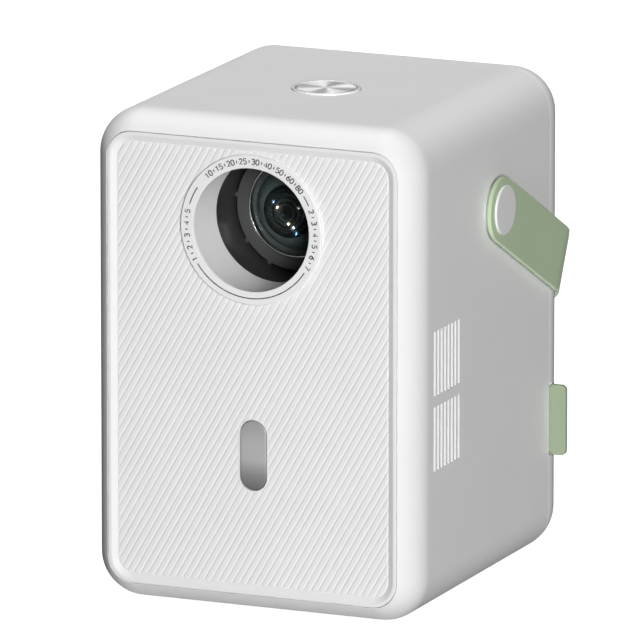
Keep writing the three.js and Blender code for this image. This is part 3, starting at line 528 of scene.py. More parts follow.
# The window's colour is multiplied by a ramp along its height: darker towards the bottom, a little darker at the top,
# lightest above the middle. This is painted shade and a painted reflection, not a tint of the window.
n_ir = M["ir"].node_tree
p_ir = next(n for n in n_ir.nodes if n.type == "BSDF_PRINCIPLED")
src = p_ir.inputs["Base Color"].links[0].from_socket
tc_ = n_ir.nodes.new("ShaderNodeTexCoord")
sp_ = n_ir.nodes.new("ShaderNodeSeparateXYZ")
n_ir.links.new(tc_.outputs["Object"], sp_.inputs[0])
rp_ = n_ir.nodes.new("ShaderNodeMapRange")
rp_.inputs["From Min"].default_value = (PILL_Z - PILL_H / 2) / 1000
rp_.inputs["From Max"].default_value = (PILL_Z + PILL_H / 2) / 1000
n_ir.links.new(sp_.outputs["Z"], rp_.inputs["Value"])
window_painted_shade = n_ir.nodes.new("ShaderNodeValToRGB")
for k_, (pos, val) in enumerate([(0.0, 0.30), (0.22, 0.54), (0.45, 0.96), (0.7, 0.95), (1.0, 0.72)]):
    e_ = window_painted_shade.color_ramp.elements[k_] if k_ < 2 else window_painted_shade.color_ramp.elements.new(pos)
    e_.position = pos
    e_.color = (val, val, val, 1)
n_ir.links.new(rp_.outputs["Result"], window_painted_shade.inputs["Fac"])
mx_ = n_ir.nodes.new("ShaderNodeMix")
mx_.data_type, mx_.blend_type = "RGBA", "MULTIPLY"
mx_.inputs["Factor"].default_value = 1.0
socks = [s for s in mx_.inputs if s.type == "RGBA"]
n_ir.links.new(src, socks[0])
n_ir.links.new(window_painted_shade.outputs["Color"], socks[1])
n_ir.links.new([s for s in mx_.outputs if s.type == "RGBA"][0], p_ir.inputs["Base Color"])
M["bezel"] = moulded("button_ring_white_gloss", (0.86, 0.86, 0.855, 1), 0.28, 0.01, 0.06, 0.5, 0.00001, coat=0.4)
# the button's pale and dark fans are painted highlights and painted shade in its colour
M["button"] = turned("button_spun_aluminium", (0.92, 0.92, 0.92, 1), 0.32, 0.16, BC, "z", metal=0.75, aniso=0.72, var=0.05, depth=0.00001, strength=0.3, fan=(49.0, 0.29))
M["strap"] = moulded("strap_sage_silicone", (0.428, 0.540, 0.352, 1), 0.62, 0.03, 0.30, 0.55, 0.00004, spec=0.32, sheen=0.12)
M["tab"] = moulded("tab_sage_silicone", (0.300, 0.372, 0.250, 1), 0.6, 0.03, 0.28, 0.5, 0.00004, spec=0.35, sheen=0.1)
M["cap"] = moulded("cap_grey_satin", (0.81, 0.81, 0.805, 1), 0.42, 0.015, 0.12, 0.35, 0.00001, spec=0.45)
# the boss is the shell's white plastic drawn darker: painted shade of the strap over it
M["boss"] = moulded("boss_white_plastic_painted_shade", (0.60, 0.60, 0.597, 1), 0.45, 0.012, 0.14, 0.35, 0.00001)
M["net_white"] = moulded("speaker_backing_white", (0.84, 0.84, 0.835, 1), 0.7, 0.02, 0.4, 0.6, 0.00004)
M["black"] = moulded("black_abs_plastic", (0.022, 0.022, 0.024, 1), 0.5, 0.12, 0.3, 0.5, 0.00004, spec=0.4)
M["driver"] = turned("speaker_cone_black", (0.02, 0.02, 0.022, 1), 0.6, 0.9, tuple(W2([(0, -46.9, Z0 + 90.7)])[0]), "x", metal=0.0, var=0.2, depth=0.0001, strength=0.4)
M["pcb"] = moulded("circuit_board_green", (0.012, 0.105, 0.055, 1), 0.38, 0.10, 0.25, 1.2, 0.00004, speck=(0.25, 0.35, 0.18, 1))
M["gear"] = moulded("gear_nylon", (0.66, 0.64, 0.56, 1), 0.5, 0.03, 0.15, 0.5, 0.00002)
M["metal"] = moulded("extruded_aluminium", (0.55, 0.56, 0.57, 1), 0.36, 0.05, 0.25, 0.5, 0.00002, metal=1.0)
M["can"] = moulded("drawn_steel_can", (0.50, 0.50, 0.51, 1), 0.3, 0.04, 0.15, 0.4, 0.00001, metal=1.0)
M["led"] = moulded("led_ceramic", (0.78, 0.79, 0.74, 1), 0.4, 0.03, 0.2, 0.6, 0.00002)
M["frame"] = moulded("filter_frame_plastic", (0.72, 0.72, 0.71, 1), 0.5, 0.015, 0.15, 0.35, 0.00002)
M["net_black"] = woven("filter_net_black", (0.05, 0.05, 0.055, 1), (0.006, 0.006, 0.007, 1), 0.5)
M["plate"] = moulded("port_plate_black", (0.028, 0.028, 0.030, 1), 0.48, 0.08, 0.3, 0.4, 0.00004)
M["rubber"] = moulded("foot_rubber", (0.035, 0.035, 0.036, 1), 0.78, 0.10, 0.4, 0.6, 0.00008, spec=0.25)
M["brass"] = turned("insert_brass", (0.60, 0.45, 0.20, 1), 0.3, 0.3, tuple(W2([(0, 0, 0)])[0]), "z", metal=1.0, var=0.06, depth=0.00002, strength=0.3)
M["screw"] = moulded("screw_steel", (0.48, 0.48, 0.49, 1), 0.3, 0.05, 0.15, 0.3, 0.00001, metal=1.0)

# ------------------------------------------------------------------ housing
K = 20                                   # segments of each outline corner


def outline(i, y):
    return place(rrect(W / 2 - i, H / 2 - i, R - i, K, 0, ZM), y, "y")


def arc_iy(off, a0, a1, n, rear=False):
    """Points (inset, y) of the rounding between side and front or rear, off below the outer surface."""
    s = 1 if rear else -1
    out = []
    for j in range(n + 1):
        a = math.radians(a0 + (a1 - a0) * j / n)
        out.append((R - (R - off) * math.cos(a), s * (D / 2 - R + (R - off) * math.sin(a))))
    return out


edge_front = arc_iy(0, 0, 52.5, 15)
inner_front = arc_iy(WALL, 0, 47.7, 8)
prof = [(p[0], p[1]) for p in edge_front] + [(INSET, YF, 0.30)] + [(INSET, -77.11, 0.2)]
prof += [(p[0], p[1]) for p in reversed(inner_front[:-1])] + [(WALL, Y_SEAM - 0.06), (0.0, Y_SEAM - 0.06, 0.07)]
shell_prof = fil(prof, True, 4)
shell_me = to_mesh("shell", skin([outline(i, y) for i, y in shell_prof], loop=True))
cuts = []
for sgn in (1, -1):
    for z0, z1 in SLOT_GROUPS:
        for i in range(SLOT_N):
            cuts.append(bar(sgn * (W / 2 - 4), sgn * (W / 2 + 2), SLOT_W / 2, (z1 - z0) / 2, 0.35, SLOT_Y0 + SLOT_PITCH * i, (z0 + z1) / 2, "x", 0.12, sgn * W / 2))
    cuts.append(rod(sgn * (W / 2 - 8), sgn * (W / 2 + 8), PIN_R + 0.3, PIVOT_Y, PIVOT_Z, "x"))
cuts.append(rod(Z1 - 8, Z1 + 5, 14.35, BUTTON_X, BUTTON_Y, "z", 0.22, Z1, 128))
cuts.append(rod(Z0 + 6, Z0 - 3, 6.3, 0, 0, "z"))
for _, x, y in FEET:
    cuts.append(rod(Z0 + 1.3, Z0 - 3, 7.3, x, y, "z"))
shell_me = carve(shell_me, cuts)
shade(shell_me, 30)
block_normals(shell_me)
add("shell_body", shell_me, M["shell"], "housing", ["main_shell"], weighted=False, do_shade=False)

outer_r = arc_iy(0, 0, 89.2, 24, rear=True)
inner_r = arc_iy(WALL, 0, 89.0, 14, rear=True)
rear_rings = [outline(i, y) for i, y in reversed(outer_r)]
edge = fil([(0.0, D / 2 - R), (0.0, Y_SEAM + 0.06, 0.07), (WALL, Y_SEAM + 0.06), (WALL, D / 2 - R)], False, 4)
rear_rings += [outline(i, y) for i, y in edge[1:-1]]
rear_rings += [outline(i, y) for i, y in inner_r]
rear_me = to_mesh("rear", skin(rear_rings))
cuts = []
for i in range(15):
    x = (i - 7) * 6.4
    cuts.append(bar(70, 95, 1.5, 39.0, 1.45, x, Z0 + 143, "y", 0.25, D / 2, 6))
    cuts.append(bar(70, 95, 1.5, 13.0, 1.45, x, Z0 + 57, "y", 0.25, D / 2, 6))
cuts.append(box(55, 100, Y_SEAM - 1, TRAY_Y1 + 0.3, TAB_Z0 - 0.3, TAB_Z1 + 0.3))
cuts.append(bar(70, 95, 43, 7.5, 3, 0, Z0 + 24.5, "y", None, None, 8))
for x in (-58, 58):
    cuts.append(rod(70, 95, 3.0, x, Z0 + 88, "y"))
rear_me = carve(rear_me, cuts)
shade(rear_me, 30)
block_normals(rear_me)
add("rear_cover_body", rear_me, M["shell"], "housing", ["rear_cover"], weighted=False, do_shade=False)

# ------------------------------------------------------------------ front panel
qx, qz, qr = PX - 0.23, PZ - 0.23, PR - 0.23
COVE_IN = 3.9


def p_outline(i, y):
    return place(rrect(qx - i, qz - i, qr - i, K, 0, ZM), y, "y")


pp = fil([(0, -76.6), (0, YF, 0.3), (1.45, YF, 0.7), (COVE_IN - 0.05, RIB_BASE, 0.9), (COVE_IN + 1.2, RIB_BASE)], False, 6)
plate = to_mesh("panel_plate", skin([p_outline(i, y) for i, y in pp]))
plate = carve(plate, [rod(-90, -70, RING_R + 0.3, 0, LENS_Z, "y", None, None, 160),
                      bar(-90, -70, PILL_W / 2 + 0.3, PILL_H / 2 + 0.3, PILL_W / 2 + 0.29, PILL_X, PILL_Z, "y", None, None, 24)])
add("panel_plate", plate, M["panel"], "housing", ["front_panel"], angle=28)

SA, CA = math.sin(math.pi / 3), math.cos(math.pi / 3)
F_IN = COVE_IN + 0.15                                    # where the ribbed field starts, from the panel's edge
fx, fz, fr = qx - F_IN, qz - F_IN, max(qr - F_IN, 1.0)


def clip_rrect(u):
    """The stretch of v in which the line at u lies in the ribbed field."""
    vs = np.linspace(-140, 140, 5601)
    x, z = u * SA + vs * CA, -u * CA + vs * SA
    dx, dz = np.maximum(np.abs(x) - (fx - fr), 0), np.maximum(np.abs(z) - (fz - fr), 0)
    ok = dx * dx + dz * dz <= fr * fr
    if not ok.any():
        return None
    return float(vs[ok][0]), float(vs[ok][-1])


SECT = [(0.006, 0.0), (0.14, 0.05), (0.22, 0.24), (0.40, 0.74), (0.50, 0.93), (0.62, 1.0), (1.20, 1.0), (1.78, 1.0),
        (1.98, 0.92), (2.25, 0.58), (2.52, 0.20), (2.62, 0.06), (RIB_PITCH - 0.006, 0.0)]
LOBE = RIB_PITCH / 2 * 0.95
RAMP = [(0.0, 0.0), (0.07, 0.5), (0.2, 0.86), (0.45, 1.0)]


def rib_parts():
    parts = []
    for i in range(-52, 52):
        u_i = RIB_PHASE + i * RIB_PITCH
        rows = []
        for s, h in SECT:
            c = clip_rrect(u_i + s)
            if c is None:
                continue
            q = abs(2 * s / RIB_PITCH - 1)
            drop = LOBE * (1 - math.sqrt(max(0.0, 1 - q * q)))
            if c[1] - c[0] - 2 * drop > 1.2:
                rows.append((u_i + s, h, c[0] + drop, c[1] - drop))
        if len(rows) < 4:
            continue
        verts, nc, m = [], 2 * len(RAMP), len(rows)
        for u, h, v0, v1 in rows:
            for v, k_ in [(v0 + dv, k_) for dv, k_ in RAMP] + [(v1 - dv, k_) for dv, k_ in reversed(RAMP)]:
                verts.append((u * SA + v * CA, RIB_BASE - 0.004 - RIB_TOP * h * k_, -u * CA + v * SA + ZM))
        faces = [(r * nc + c, r * nc + c + 1, (r + 1) * nc + c + 1, (r + 1) * nc + c) for r in range(m - 1) for c in range(nc - 1)]
        # underside, a little inside the plate
        o = len(verts)
        verts += [(v[0], RIB_BASE + 0.25, v[2]) for v in verts]
        under = [tuple(o + x for x in reversed(f)) for f in faces]
        rim = [r * nc for r in range(m)] + [(m - 1) * nc + c for c in range(1, nc)] + [r * nc + nc - 1 for r in range(m - 2, -1, -1)] + [c for c in range(nc - 2, 0, -1)]
        side = [(rim[j], rim[(j + 1) % len(rim)], o + rim[(j + 1) % len(rim)], o + rim[j]) for j in range(len(rim))]
        parts.append((verts, faces + under + side))
    return parts


ribs = carve(to_mesh("panel_ribs", join(*rib_parts())), [
    rod(-90, -70, RING_R + 0.42, 0, LENS_Z, "y", None, None, 160),
    bar(-90, -70, PILL_W / 2 + 0.85, PILL_H / 2 + 0.85, PILL_W / 2 + 0.84, PILL_X, PILL_Z, "y", None, None, 24)])
ribs_ob = add("panel_ribs", ribs, M["panel"], "housing", (), weighted=False, do_shade=False)
for q in ribs.polygons:
    q.use_smooth = False

# flat border round the window
pr0, pr1 = 0.32, 0.84
rim_prof = fil([(pr0, RIB_BASE + 0.3), (pr0, RIB_BASE - RIB_TOP, 0.08), (pr1, RIB_BASE - RIB_TOP, 0.08), (pr1, RIB_BASE + 0.3)], True, 3)
rim_rings = [place(rrect(PILL_W / 2 + g, PILL_H / 2 + g, PILL_W / 2 + g - 0.01, 24, PILL_X, PILL_Z), y, "y") for g, y in rim_prof]
add("window_border", to_mesh("window_border", skin(rim_rings, loop=True)), M["panel"], "housing", ())

# window: a softly crowned pill
win = []
for g, y in [(0, -76.9), (0, -78.75), (-0.12, -78.98), (-0.38, -79.12), (-0.8, -79.17), (-2.0, -79.22), (-3.6, -79.26), (-5.0, -79.27)]:
    win.append(place(rrect(PILL_W / 2 + g, PILL_H / 2 + g, PILL_W / 2 + g - 0.01, 24, PILL_X, PILL_Z), y, "y"))
add("window_lens", to_mesh("window_lens", skin(win)), M["ir"], "housing", ["ir_window"])

# ------------------------------------------------------------------ lens surround
ring_prof = fil([(RING_IN, RING_FRONT, 0.32), (RING_R, RING_FRONT, 0.45), (RING_R, RIB_BASE - 0.05), (RING_R + 0.26, RIB_BASE - 0.05), (RING_R + 0.26, -76.6), (28.4, -76.6), (28.4, -79.3), (RING_IN, -79.6, 0.1)], True, 6)
add("lens_ring_body", to_mesh("lens_ring_body", lathe(ring_prof, 0, LENS_Z, 192)), M["ring"], "housing", ["lens_ring"])


def arc_strip(r, a0, a1, w=0.46, h=0.012, n=48):
    """A printed line along the ring, from angle a0 to a1, degrees counter-clockwise from the right."""
    y0, y1 = RING_FRONT + 0.02, RING_FRONT - h
    rings = []
    for i in range(n + 1):
        a = math.radians(a0 + (a1 - a0) * i / n)
        c, s = math.cos(a), math.sin(a)
        rings.append([((r + dr) * c, y, LENS_Z + (r + dr) * s) for dr, y in ((-w / 2, y0), (w / 2, y0), (w / 2, y1), (-w / 2, y1))])
    return skin(rings)


def tick(a, r0, r1, w=0.26, h=0.012):
    y0, y1 = RING_FRONT + 0.02, RING_FRONT - h
    t = math.radians(a)
    c, s = math.cos(t), math.sin(t)
    return skin([[(r * c - q * s, y, LENS_Z + r * s + q * c) for q, y in ((-w / 2, y0), (w / 2, y0), (w / 2, y1), (-w / 2, y1))] for r in (r0, r1)])


STROKES = {
    "0": [[(0, 0.2), (0, 0.8), (0.2, 1), (0.4, 1), (0.6, 0.8), (0.6, 0.2), (0.4, 0), (0.2, 0), (0, 0.2)]],
    "1": [[(0.1, 0.78), (0.32, 1), (0.32, 0)]],
    "2": [[(0, 0.8), (0.2, 1), (0.42, 1), (0.6, 0.8), (0.6, 0.62), (0, 0), (0.6, 0)]],
    "3": [[(0, 0.9), (0.2, 1), (0.42, 1), (0.6, 0.84), (0.6, 0.66), (0.42, 0.53), (0.2, 0.53)], [(0.42, 0.53), (0.6, 0.36), (0.6, 0.16), (0.42, 0), (0.18, 0), (0, 0.1)]],
    "4": [[(0.46, 0), (0.46, 1), (0, 0.32), (0.64, 0.32)]],
    "5": [[(0.56, 1), (0.08, 1), (0.04, 0.55), (0.36, 0.62), (0.6, 0.42), (0.6, 0.18), (0.4, 0), (0.18, 0), (0, 0.1)]],
    "6": [[(0.52, 1), (0.16, 0.7), (0, 0.4), (0, 0.18), (0.2, 0), (0.42, 0), (0.6, 0.18), (0.6, 0.4), (0.4, 0.56), (0.18, 0.54), (0.02, 0.38)]],
    "7": [[(0, 1), (0.6, 1), (0.2, 0)]],
    "8": [[(0.2, 0.54), (0.04, 0.7), (0.04, 0.86), (0.2, 1), (0.42, 1), (0.56, 0.86), (0.56, 0.7), (0.42, 0.54), (0.2, 0.54), (0, 0.36), (0, 0.16), (0.2, 0), (0.42, 0), (0.6, 0.16), (0.6, 0.36), (0.42, 0.54)]],
    "9": [[(0.08, 0), (0.44, 0.3), (0.6, 0.6), (0.6, 0.82), (0.4, 1), (0.18, 1), (0, 0.82), (0, 0.62), (0.18, 0.46), (0.42, 0.46), (0.6, 0.62)]],
    "-": [[(0.05, 0.5), (0.55, 0.5)]],
}


def digit(ch, a, r, size, w=0.46, h=0.012):
    """A plain numeral standing on the ring at angle a, its foot towards the middle."""
    y0, y1 = RING_FRONT + 0.02, RING_FRONT - h
    t = math.radians(a)
    rx, tx = np.array([math.cos(t), math.sin(t)]), np.array([math.sin(t), -math.cos(t)])
    out = []
    for stroke in STROKES[ch]:
        pts = [rx * (r + (v - 0.5) * size) + tx * ((u - 0.3) * size) for u, v in stroke]
        pts = [np.array(p) for p in pts]
        side = []
        for i, p in enumerate(pts):
            d = (pts[min(i + 1, len(pts) - 1)] - pts[max(i - 1, 0)])
            ln = np.linalg.norm(d)
            if ln < 1e-6:
                d = pts[i] - pts[i - 1]
                ln = np.linalg.norm(d)
            side.append(np.array([-d[1], d[0]]) / ln * w / 2)
        rings = [[(q[0], y, LENS_Z + q[1]) for q, y in ((p - s, y0), (p + s, y0), (p + s, y1), (p - s, y1))] for p, s in zip(pts, side)]
        out.append(skin(rings))
    return out


marks = [arc_strip(28.2, -146, -33.5), arc_strip(28.2, 146, 162.3, n=10), arc_strip(28.2, 25.5, 34.6, n=8)]


def scale_band(a0, a1, labels, size, r=28.2, step=0.0):
    """Numerals spread evenly from a0 to a1 with fine ticks between them."""
    out = []
    for j, lab in enumerate(labels):
        a = a0 + (a1 - a0) * j / (len(labels) - 1)
        pitch = math.degrees(size * 0.86 / r)
        for k, ch in enumerate(lab):
            out += digit(ch, a - (k - (len(lab) - 1) / 2) * pitch, r, size)
        if j < len(labels) - 1:
            gap = (a1 - a0) / (len(labels) - 1)
            out.append(tick(a + gap * 0.5, r - 0.55, r + 0.55, 0.42))
    return out


marks += scale_band(130.5, 41, ["10", "15", "20", "25", "30", "40", "50", "60", "80"], 2.15, 28.35)
marks += scale_band(20.5, -28.5, ["2", "3", "4", "5", "6", "7"], 2.1, 28.35)
marks += scale_band(209.5, 168.5, ["1", "2", "3", "4", "5"], 2.1, 28.35)
marks_me = to_mesh("ring_marks", join(*marks))
add("ring_marks", marks_me, M["mark"], "housing", (), weighted=False)

hood_prof = fil([(RING_IN + 0.12, -79.2, 0.2), (28.3, -79.2), (28.3, -76.4), (29.6, -76.4), (29.6, -74.4), (28.6, -74.0), (28.8, -53.7), (26.9, -53.7, 0.2)], True, 6)
add("hood_body", to_mesh("hood_body", lathe(hood_prof, 0, LENS_Z, 160)), M["hood"], "housing", ["lens_hood"])

# black tube
tube = fil([(26.9, -53.5, 0.3), (29.0, -53.5), (29.0, -5.6), (34.2, -5.6), (34.2, -2.6), (26.95, -2.6)], True, 4)
add("tube_body", to_mesh("tube_body", lathe(tube, 0, LENS_Z, 160)), M["tube"], "housing", ["baffle_tube"])

# lens barrel with a stepped front bezel and three small lugs
bar_prof = fil([(20.65, BEZEL_Y + 0.55), (21.05, BEZEL_Y, 0.15), (25.8, BEZEL_Y, 0.3), (25.95, BEZEL_Y + 0.9), (26.6, BEZEL_Y + 1.0, 0.1), (26.6, -7.0), (17.0, -7.0), (17.0, -12.0), (15.5, -12.0),
                (15.5, -30.5), (19.0, -31.5), (20.65, -32.0)], True, 4)
lugs = []
for a in (172, -145, -116):
    t = math.radians(a)
    rings = []
    for r in (25.4, 26.82):
        rings.append([(r * math.cos(t + q), yy, LENS_Z + r * math.sin(t + q)) for q, yy in ((-0.035, BEZEL_Y + 0.3), (0.035, BEZEL_Y + 0.3), (0.035, BEZEL_Y + 3), (-0.035, BEZEL_Y + 3))])
    lugs.append(skin(rings))
barrel = add("barrel_body", to_mesh("barrel_body", join(lathe(bar_prof, 0, LENS_Z, 160), *lugs)), M["barrel"], "lens_group", ["lens_barrel"])
barrel.data.materials.append(M["cell_ring"])
for q in barrel.data.polygons:                 # the groove between bezel and tube is drawn near-black: painted shade in the gap
    rad = math.hypot(q.center.x * 1000 - DX, q.center.z * 1000 - LENS_Z)
    if 25.82 < rad < 26.62 and BEZEL_Y + 0.45 < q.center.y * 1000 - DY < BEZEL_Y + 6 and len(q.vertices) == 4:
        q.material_index = 1


def arc(r, cy, a0, a1, n):
    return [(max(r * math.sin(a0 + (a1 - a0) * i / n), 0.0), cy - r * math.cos(a0 + (a1 - a0) * i / n)) for i in range(n + 1)]


DOME_R, DOME_C = 21.1, BEZEL_Y + 0.9 + 7.5
aE, aI = math.asin(19.6 / DOME_R), math.asin(17.7 / (DOME_R - 2.2))
dome = arc(DOME_R, DOME_C, 0, aE, 28) + [(19.6, -32.9), (17.7, -32.9)] + arc(DOME_R - 2.2, DOME_C, aI, 0, 24)
g = add("front_glass", to_mesh("front_glass", lathe(dome, 0, LENS_Z, 128)), M["glass_front"], "lens_group", ["front_element"])
g.visible_shadow = False
g.data.materials.append(M["glass_inner"])
_c = Vector(W2([(0, DOME_C, LENS_Z)])[0])
for q in g.data.polygons:
    if (q.center - _c).length < (DOME_R - 0.5) / 1000 and q.center.y < W2([(0, -33.1, 0)])[0][1]:
        q.material_index = 1
trim = fil([(19.85, BEZEL_Y - 0.15, 0.08), (20.5, BEZEL_Y - 0.15, 0.15), (20.5, -32.6), (19.85, -32.6)], True, 4)
add("glass_trim", to_mesh("glass_trim", lathe(trim, 0, LENS_Z, 160)), M["trim"], "lens_group", ["trim_ring"])

cr = DOME_R - 2.7
a0c, a1c = math.asin(11.2 / cr), math.asin(17.2 / cr)
cone = arc(cr, DOME_C, a0c, a1c, 18)
NY = DOME_C - math.sqrt(cr * cr - 9.4 * 9.4)
stepped = []
for i, (r, yy) in enumerate(cone):
    stepped.append((r, yy))
cell = stepped + [(17.2, -32.9), (15.2, -32.9), (15.2, -20), (8.4, -20), (8.4, NY + 2.4), (11.2, NY + 2.4)]
add("cell_cone", to_mesh("cell_cone", lathe(cell, 0, LENS_Z, 128)), M["cell"], "lens_group", ["inner_cell"])
cring = fil([(7.9, NY + 0.25), (8.15, NY - 0.1, 0.1), (9.0, NY - 0.1, 0.12), (9.2, NY + 0.35, 0.1), (10.05, NY + 0.35, 0.12), (10.25, NY + 0.8, 0.1), (11.05, NY + 0.8, 0.15), (11.05, NY + 2.0), (7.9, NY + 2.0)], True, 3)
add("cell_nose_ring", to_mesh("cell_nose_ring", lathe(cring, 0, LENS_Z, 96)), M["cell_ring"], "lens_group", ["cell_ring"])
r2 = 13.0
c2 = NY + 0.1 + math.sqrt(r2 * r2 - 7.6 * 7.6)
el2 = arc(r2, c2, 0, math.asin(7.6 / r2), 14) + [(7.6, NY + 4.0), (0, NY + 3.2)]
g2 = add("second_glass", to_mesh("second_glass", lathe(el2, 0, LENS_Z, 96)), M["glass_second"], "lens_group", ["second_element"])
g2.visible_shadow = False
stop = fil([(3.9, NY + 5.2), (4.1, NY + 4.8, 0.1), (5.6, NY + 4.8), (5.8, NY + 4.95), (6.0, NY + 4.8), (8.1, NY + 4.8), (8.1, NY + 5.8), (3.9, NY + 5.8)], True, 3)
add("aperture_ring", to_mesh("aperture_ring", lathe(stop, 0, LENS_Z, 96)), M["stop"], "lens_group", ["aperture_stop"])

# ------------------------------------------------------------------ button
bz = fil([(12.75, Z1 - 2.2), (14.05, Z1 - 2.2), (14.05, Z1 + 0.6, 0.3), (12.75, Z1 + 0.6, 0.25)], True, 5)
add("button_ring", to_mesh("button_ring", lathe(bz, BUTTON_X, BUTTON_Y, 144, "z")), M["bezel"], "housing", ["button_bezel"])
pb = [(0, Z1 - 5.0), (3, Z1 - 5.0), (3, Z1 - 2.8), (12.45, Z1 - 2.8), (12.45, Z1 + 0.02)]
pb += [(12.36, Z1 + 0.10), (12.15, Z1 + 0.22), (11.75, Z1 + 0.40), (11.6, Z1 + 0.44), (11.3, Z1 + 0.45), (9, Z1 + 0.445), (6, Z1 + 0.44), (3, Z1 + 0.435), (0, Z1 + 0.435)]
add("button_disc", to_mesh("button_disc", lathe(pb, BUTTON_X, BUTTON_Y, 144, "z")), M["button"], "button", ["power_button"])

# ------------------------------------------------------------------ strap handle
SC, SS = math.cos(STRAP_ANGLE), math.sin(STRAP_ANGLE)


def strap_place(x, s, n):
    return (x, PIVOT_Y + s * SC + n * SS, PIVOT_Z - s * SS + n * SC)


STRAP_VT = 2.0                           # thickness drawn
FOLD_S, FOLD_R, FOLD_A, FOLD_L, GRIP_R = 69.9, 23.0, math.radians(21.5), 16.0, 50.0


def strap_line():
    """Stations along one half of the strap: (outer x, s, angle of the outward normal, half widths above and below)."""
    out = []
    half0, half1, half2 = STRAP_W / 2, STRAP_W / 2 + 0.75, STRAP_W / 2 - 2.8

    def half(s):
        w = half0 + (half1 - half0) * min(max(s / FOLD_S, 0.0), 1.0)
        q = min(max((s - FOLD_S - 1.0) / 21.0, 0.0), 1.0)
        return half0 - 1.15 * (w - half0), w + (half2 - half1) * q * q * (3 - 2 * q)

    for s in np.linspace(0.0, FOLD_S, 13)[:-1]:
        out.append((XO, s, 0.0, *half(s)))
    x, s = XO - FOLD_R, FOLD_S
    for i in range(15):
        a = FOLD_A * i / 14
        out.append((x + FOLD_R * math.cos(a), s + FOLD_R * math.sin(a), a, *half(s + FOLD_R * math.sin(a))))
    x0, s0 = out[-1][0], out[-1][1]
    x1, s1 = x0 - FOLD_L * math.sin(FOLD_A), s0 + FOLD_L * math.cos(FOLD_A)
    for q in (0.2, 0.4, 0.6, 0.8):
        out.append((x0 + (x1 - x0) * q, s0 + (s1 - s0) * q, FOLD_A, *half(s0 + (s1 - s0) * q)))
    cx, cs = x1 - GRIP_R * math.cos(FOLD_A), s1 - GRIP_R * math.sin(FOLD_A)
    for i in range(33):
        a = FOLD_A + (math.pi / 2 - FOLD_A) * i / 32
        out.append((cx + GRIP_R * math.cos(a), cs + GRIP_R * math.sin(a), a, *half(cs + GRIP_R * math.sin(a))))
    return out


def strap_stations():
    return [("end", math.pi / 2 * i / 18) for i in range(18)] + [("line", q) for q in strap_line()]


STRAP_EDGE = [(0.60, 0.0), (0.42, 0.03), (0.20, 0.14), (0.05, 0.34), (0.0, 0.56), (0.0, STRAP_VT - 0.56), (0.05, STRAP_VT - 0.34), (0.20, STRAP_VT - 0.14),
              (0.42, STRAP_VT - 0.03), (0.60, STRAP_VT)]


def strap_ring(kind, q, side):
    out = []
    for sgn, edge in ((1, STRAP_EDGE), (-1, STRAP_EDGE[::-1])):
        for g, t_ in edge:
            if kind == "end":
                half = STRAP_W / 2
                x, ss, n = XO - t_, -(half - g) * math.cos(q), sgn * (half - g) * math.sin(q)
            else:
                x, ss, n = q[0] - t_ * math.cos(q[2]), q[1] - t_ * math.sin(q[2]), sgn * (q[3 if sgn > 0 else 4] - g)
            out.append(strap_place(side * x, ss, n))
    return out


st = strap_stations()
rings = [strap_ring(k, q, 1) for k, q in st] + [strap_ring(k, q, -1) for k, q in reversed(st)]
strap_me = to_mesh("strap", skin(rings, cap=(False, False)))
strap_me = carve(strap_me, [rod(-100, 100, 4.08, PIVOT_Y, PIVOT_Z, "x", None, None, 48)])
add("strap_body", strap_me, M["strap"], "strap", ["strap_handle"], angle=40)

for side, k in (("right", 1), ("left", -1)):
    x0 = W / 2
    pf = fil([(PIN_R + 0.3, x0 + 0.15), (10.95, x0 + 0.15), (10.95, x0 + BOSS_T, 0.4), (PIN_R + 0.3, x0 + BOSS_T)], True, 4)
    add(f"boss_{side}", to_mesh("boss", lathe([(r, k * x) for r, x in pf], PIVOT_Y, PIVOT_Z, 96, "x")), M["boss"], "housing", [f"handle_boss_{side}"])
    pf = fil([(0, x0 - 5.2), (PIN_R, x0 - 5.2), (PIN_R, XO + 0.2), (CAP_R, XO + 0.2), (CAP_R, XO + CAP_T, 0.42), (0, XO + CAP_T)], False, 5)
    add(f"cap_{side}", to_mesh("cap", lathe([(r, k * x) for r, x in pf], PIVOT_Y, PIVOT_Z, 112, "x")), M["cap"], "housing", [f"handle_cap_{side}"])

# ------------------------------------------------------------------ filter tab
TX1 = W / 2 - 0.9
xa, xb = TX1 + 0.3, W / 2 + TAB_REACH
tcx, tcz, thx, thz = (xa + xb) / 2, (TAB_Z0 + TAB_Z1) / 2, (xb - xa) / 2, (TAB_Z1 - TAB_Z0) / 2


def tab_ring(g, yy):
    ring = []
    for u, v in rrect(thx - g, thz - g, 2.2 - g if 2.2 - g > 0.05 else 0.05, 10, tcx, tcz):
        ring.append((u, v))
    return place(ring, yy, "y")


tab = [tab_ring(g, yy) for g, yy in ((0.55, TRAY_Y0), (0.3, TRAY_Y0 + 0.04), (0.1, TRAY_Y0 + 0.18), (0, TRAY_Y0 + 0.45), (0, TRAY_Y1 - 0.45), (0.1, TRAY_Y1 - 0.18), (0.3, TRAY_Y1 - 0.04), (0.55, TRAY_Y1))]
add("tab_body", to_mesh("tab_body", skin(tab)), M["tab"], "filter", ["filter_tab"])

# ------------------------------------------------------------------ sheets behind the side slots
for side, k in (("right", 1), ("left", -1)):
    rr_ = [place(rrect(16.7, 32.25, 1.2, 6, -46.9, Z0 + 90.75), k * x, "x") for x in (67.9, 68.0, 68.6, 68.7)]
    add(f"slot_sheet_{side}", to_mesh("slot_sheet", skin(rr_)), M["net_white"], "housing", [f"side_mesh_{side}"])

# ------------------------------------------------------------------ feet
for name, x, y in FEET:
    pf = fil([(0, 0.12), (5.2, 0.12), (5.5, 0.0, 0.1), (7.0, 0.0, 0.5), (7.0, Z0 + 1.0), (0, Z0 + 1.0)], False, 5)
    add(f"{name}_pad", to_mesh("foot", lathe(pf, x, y, 64, "z")), M["rubber"], "housing", [name])

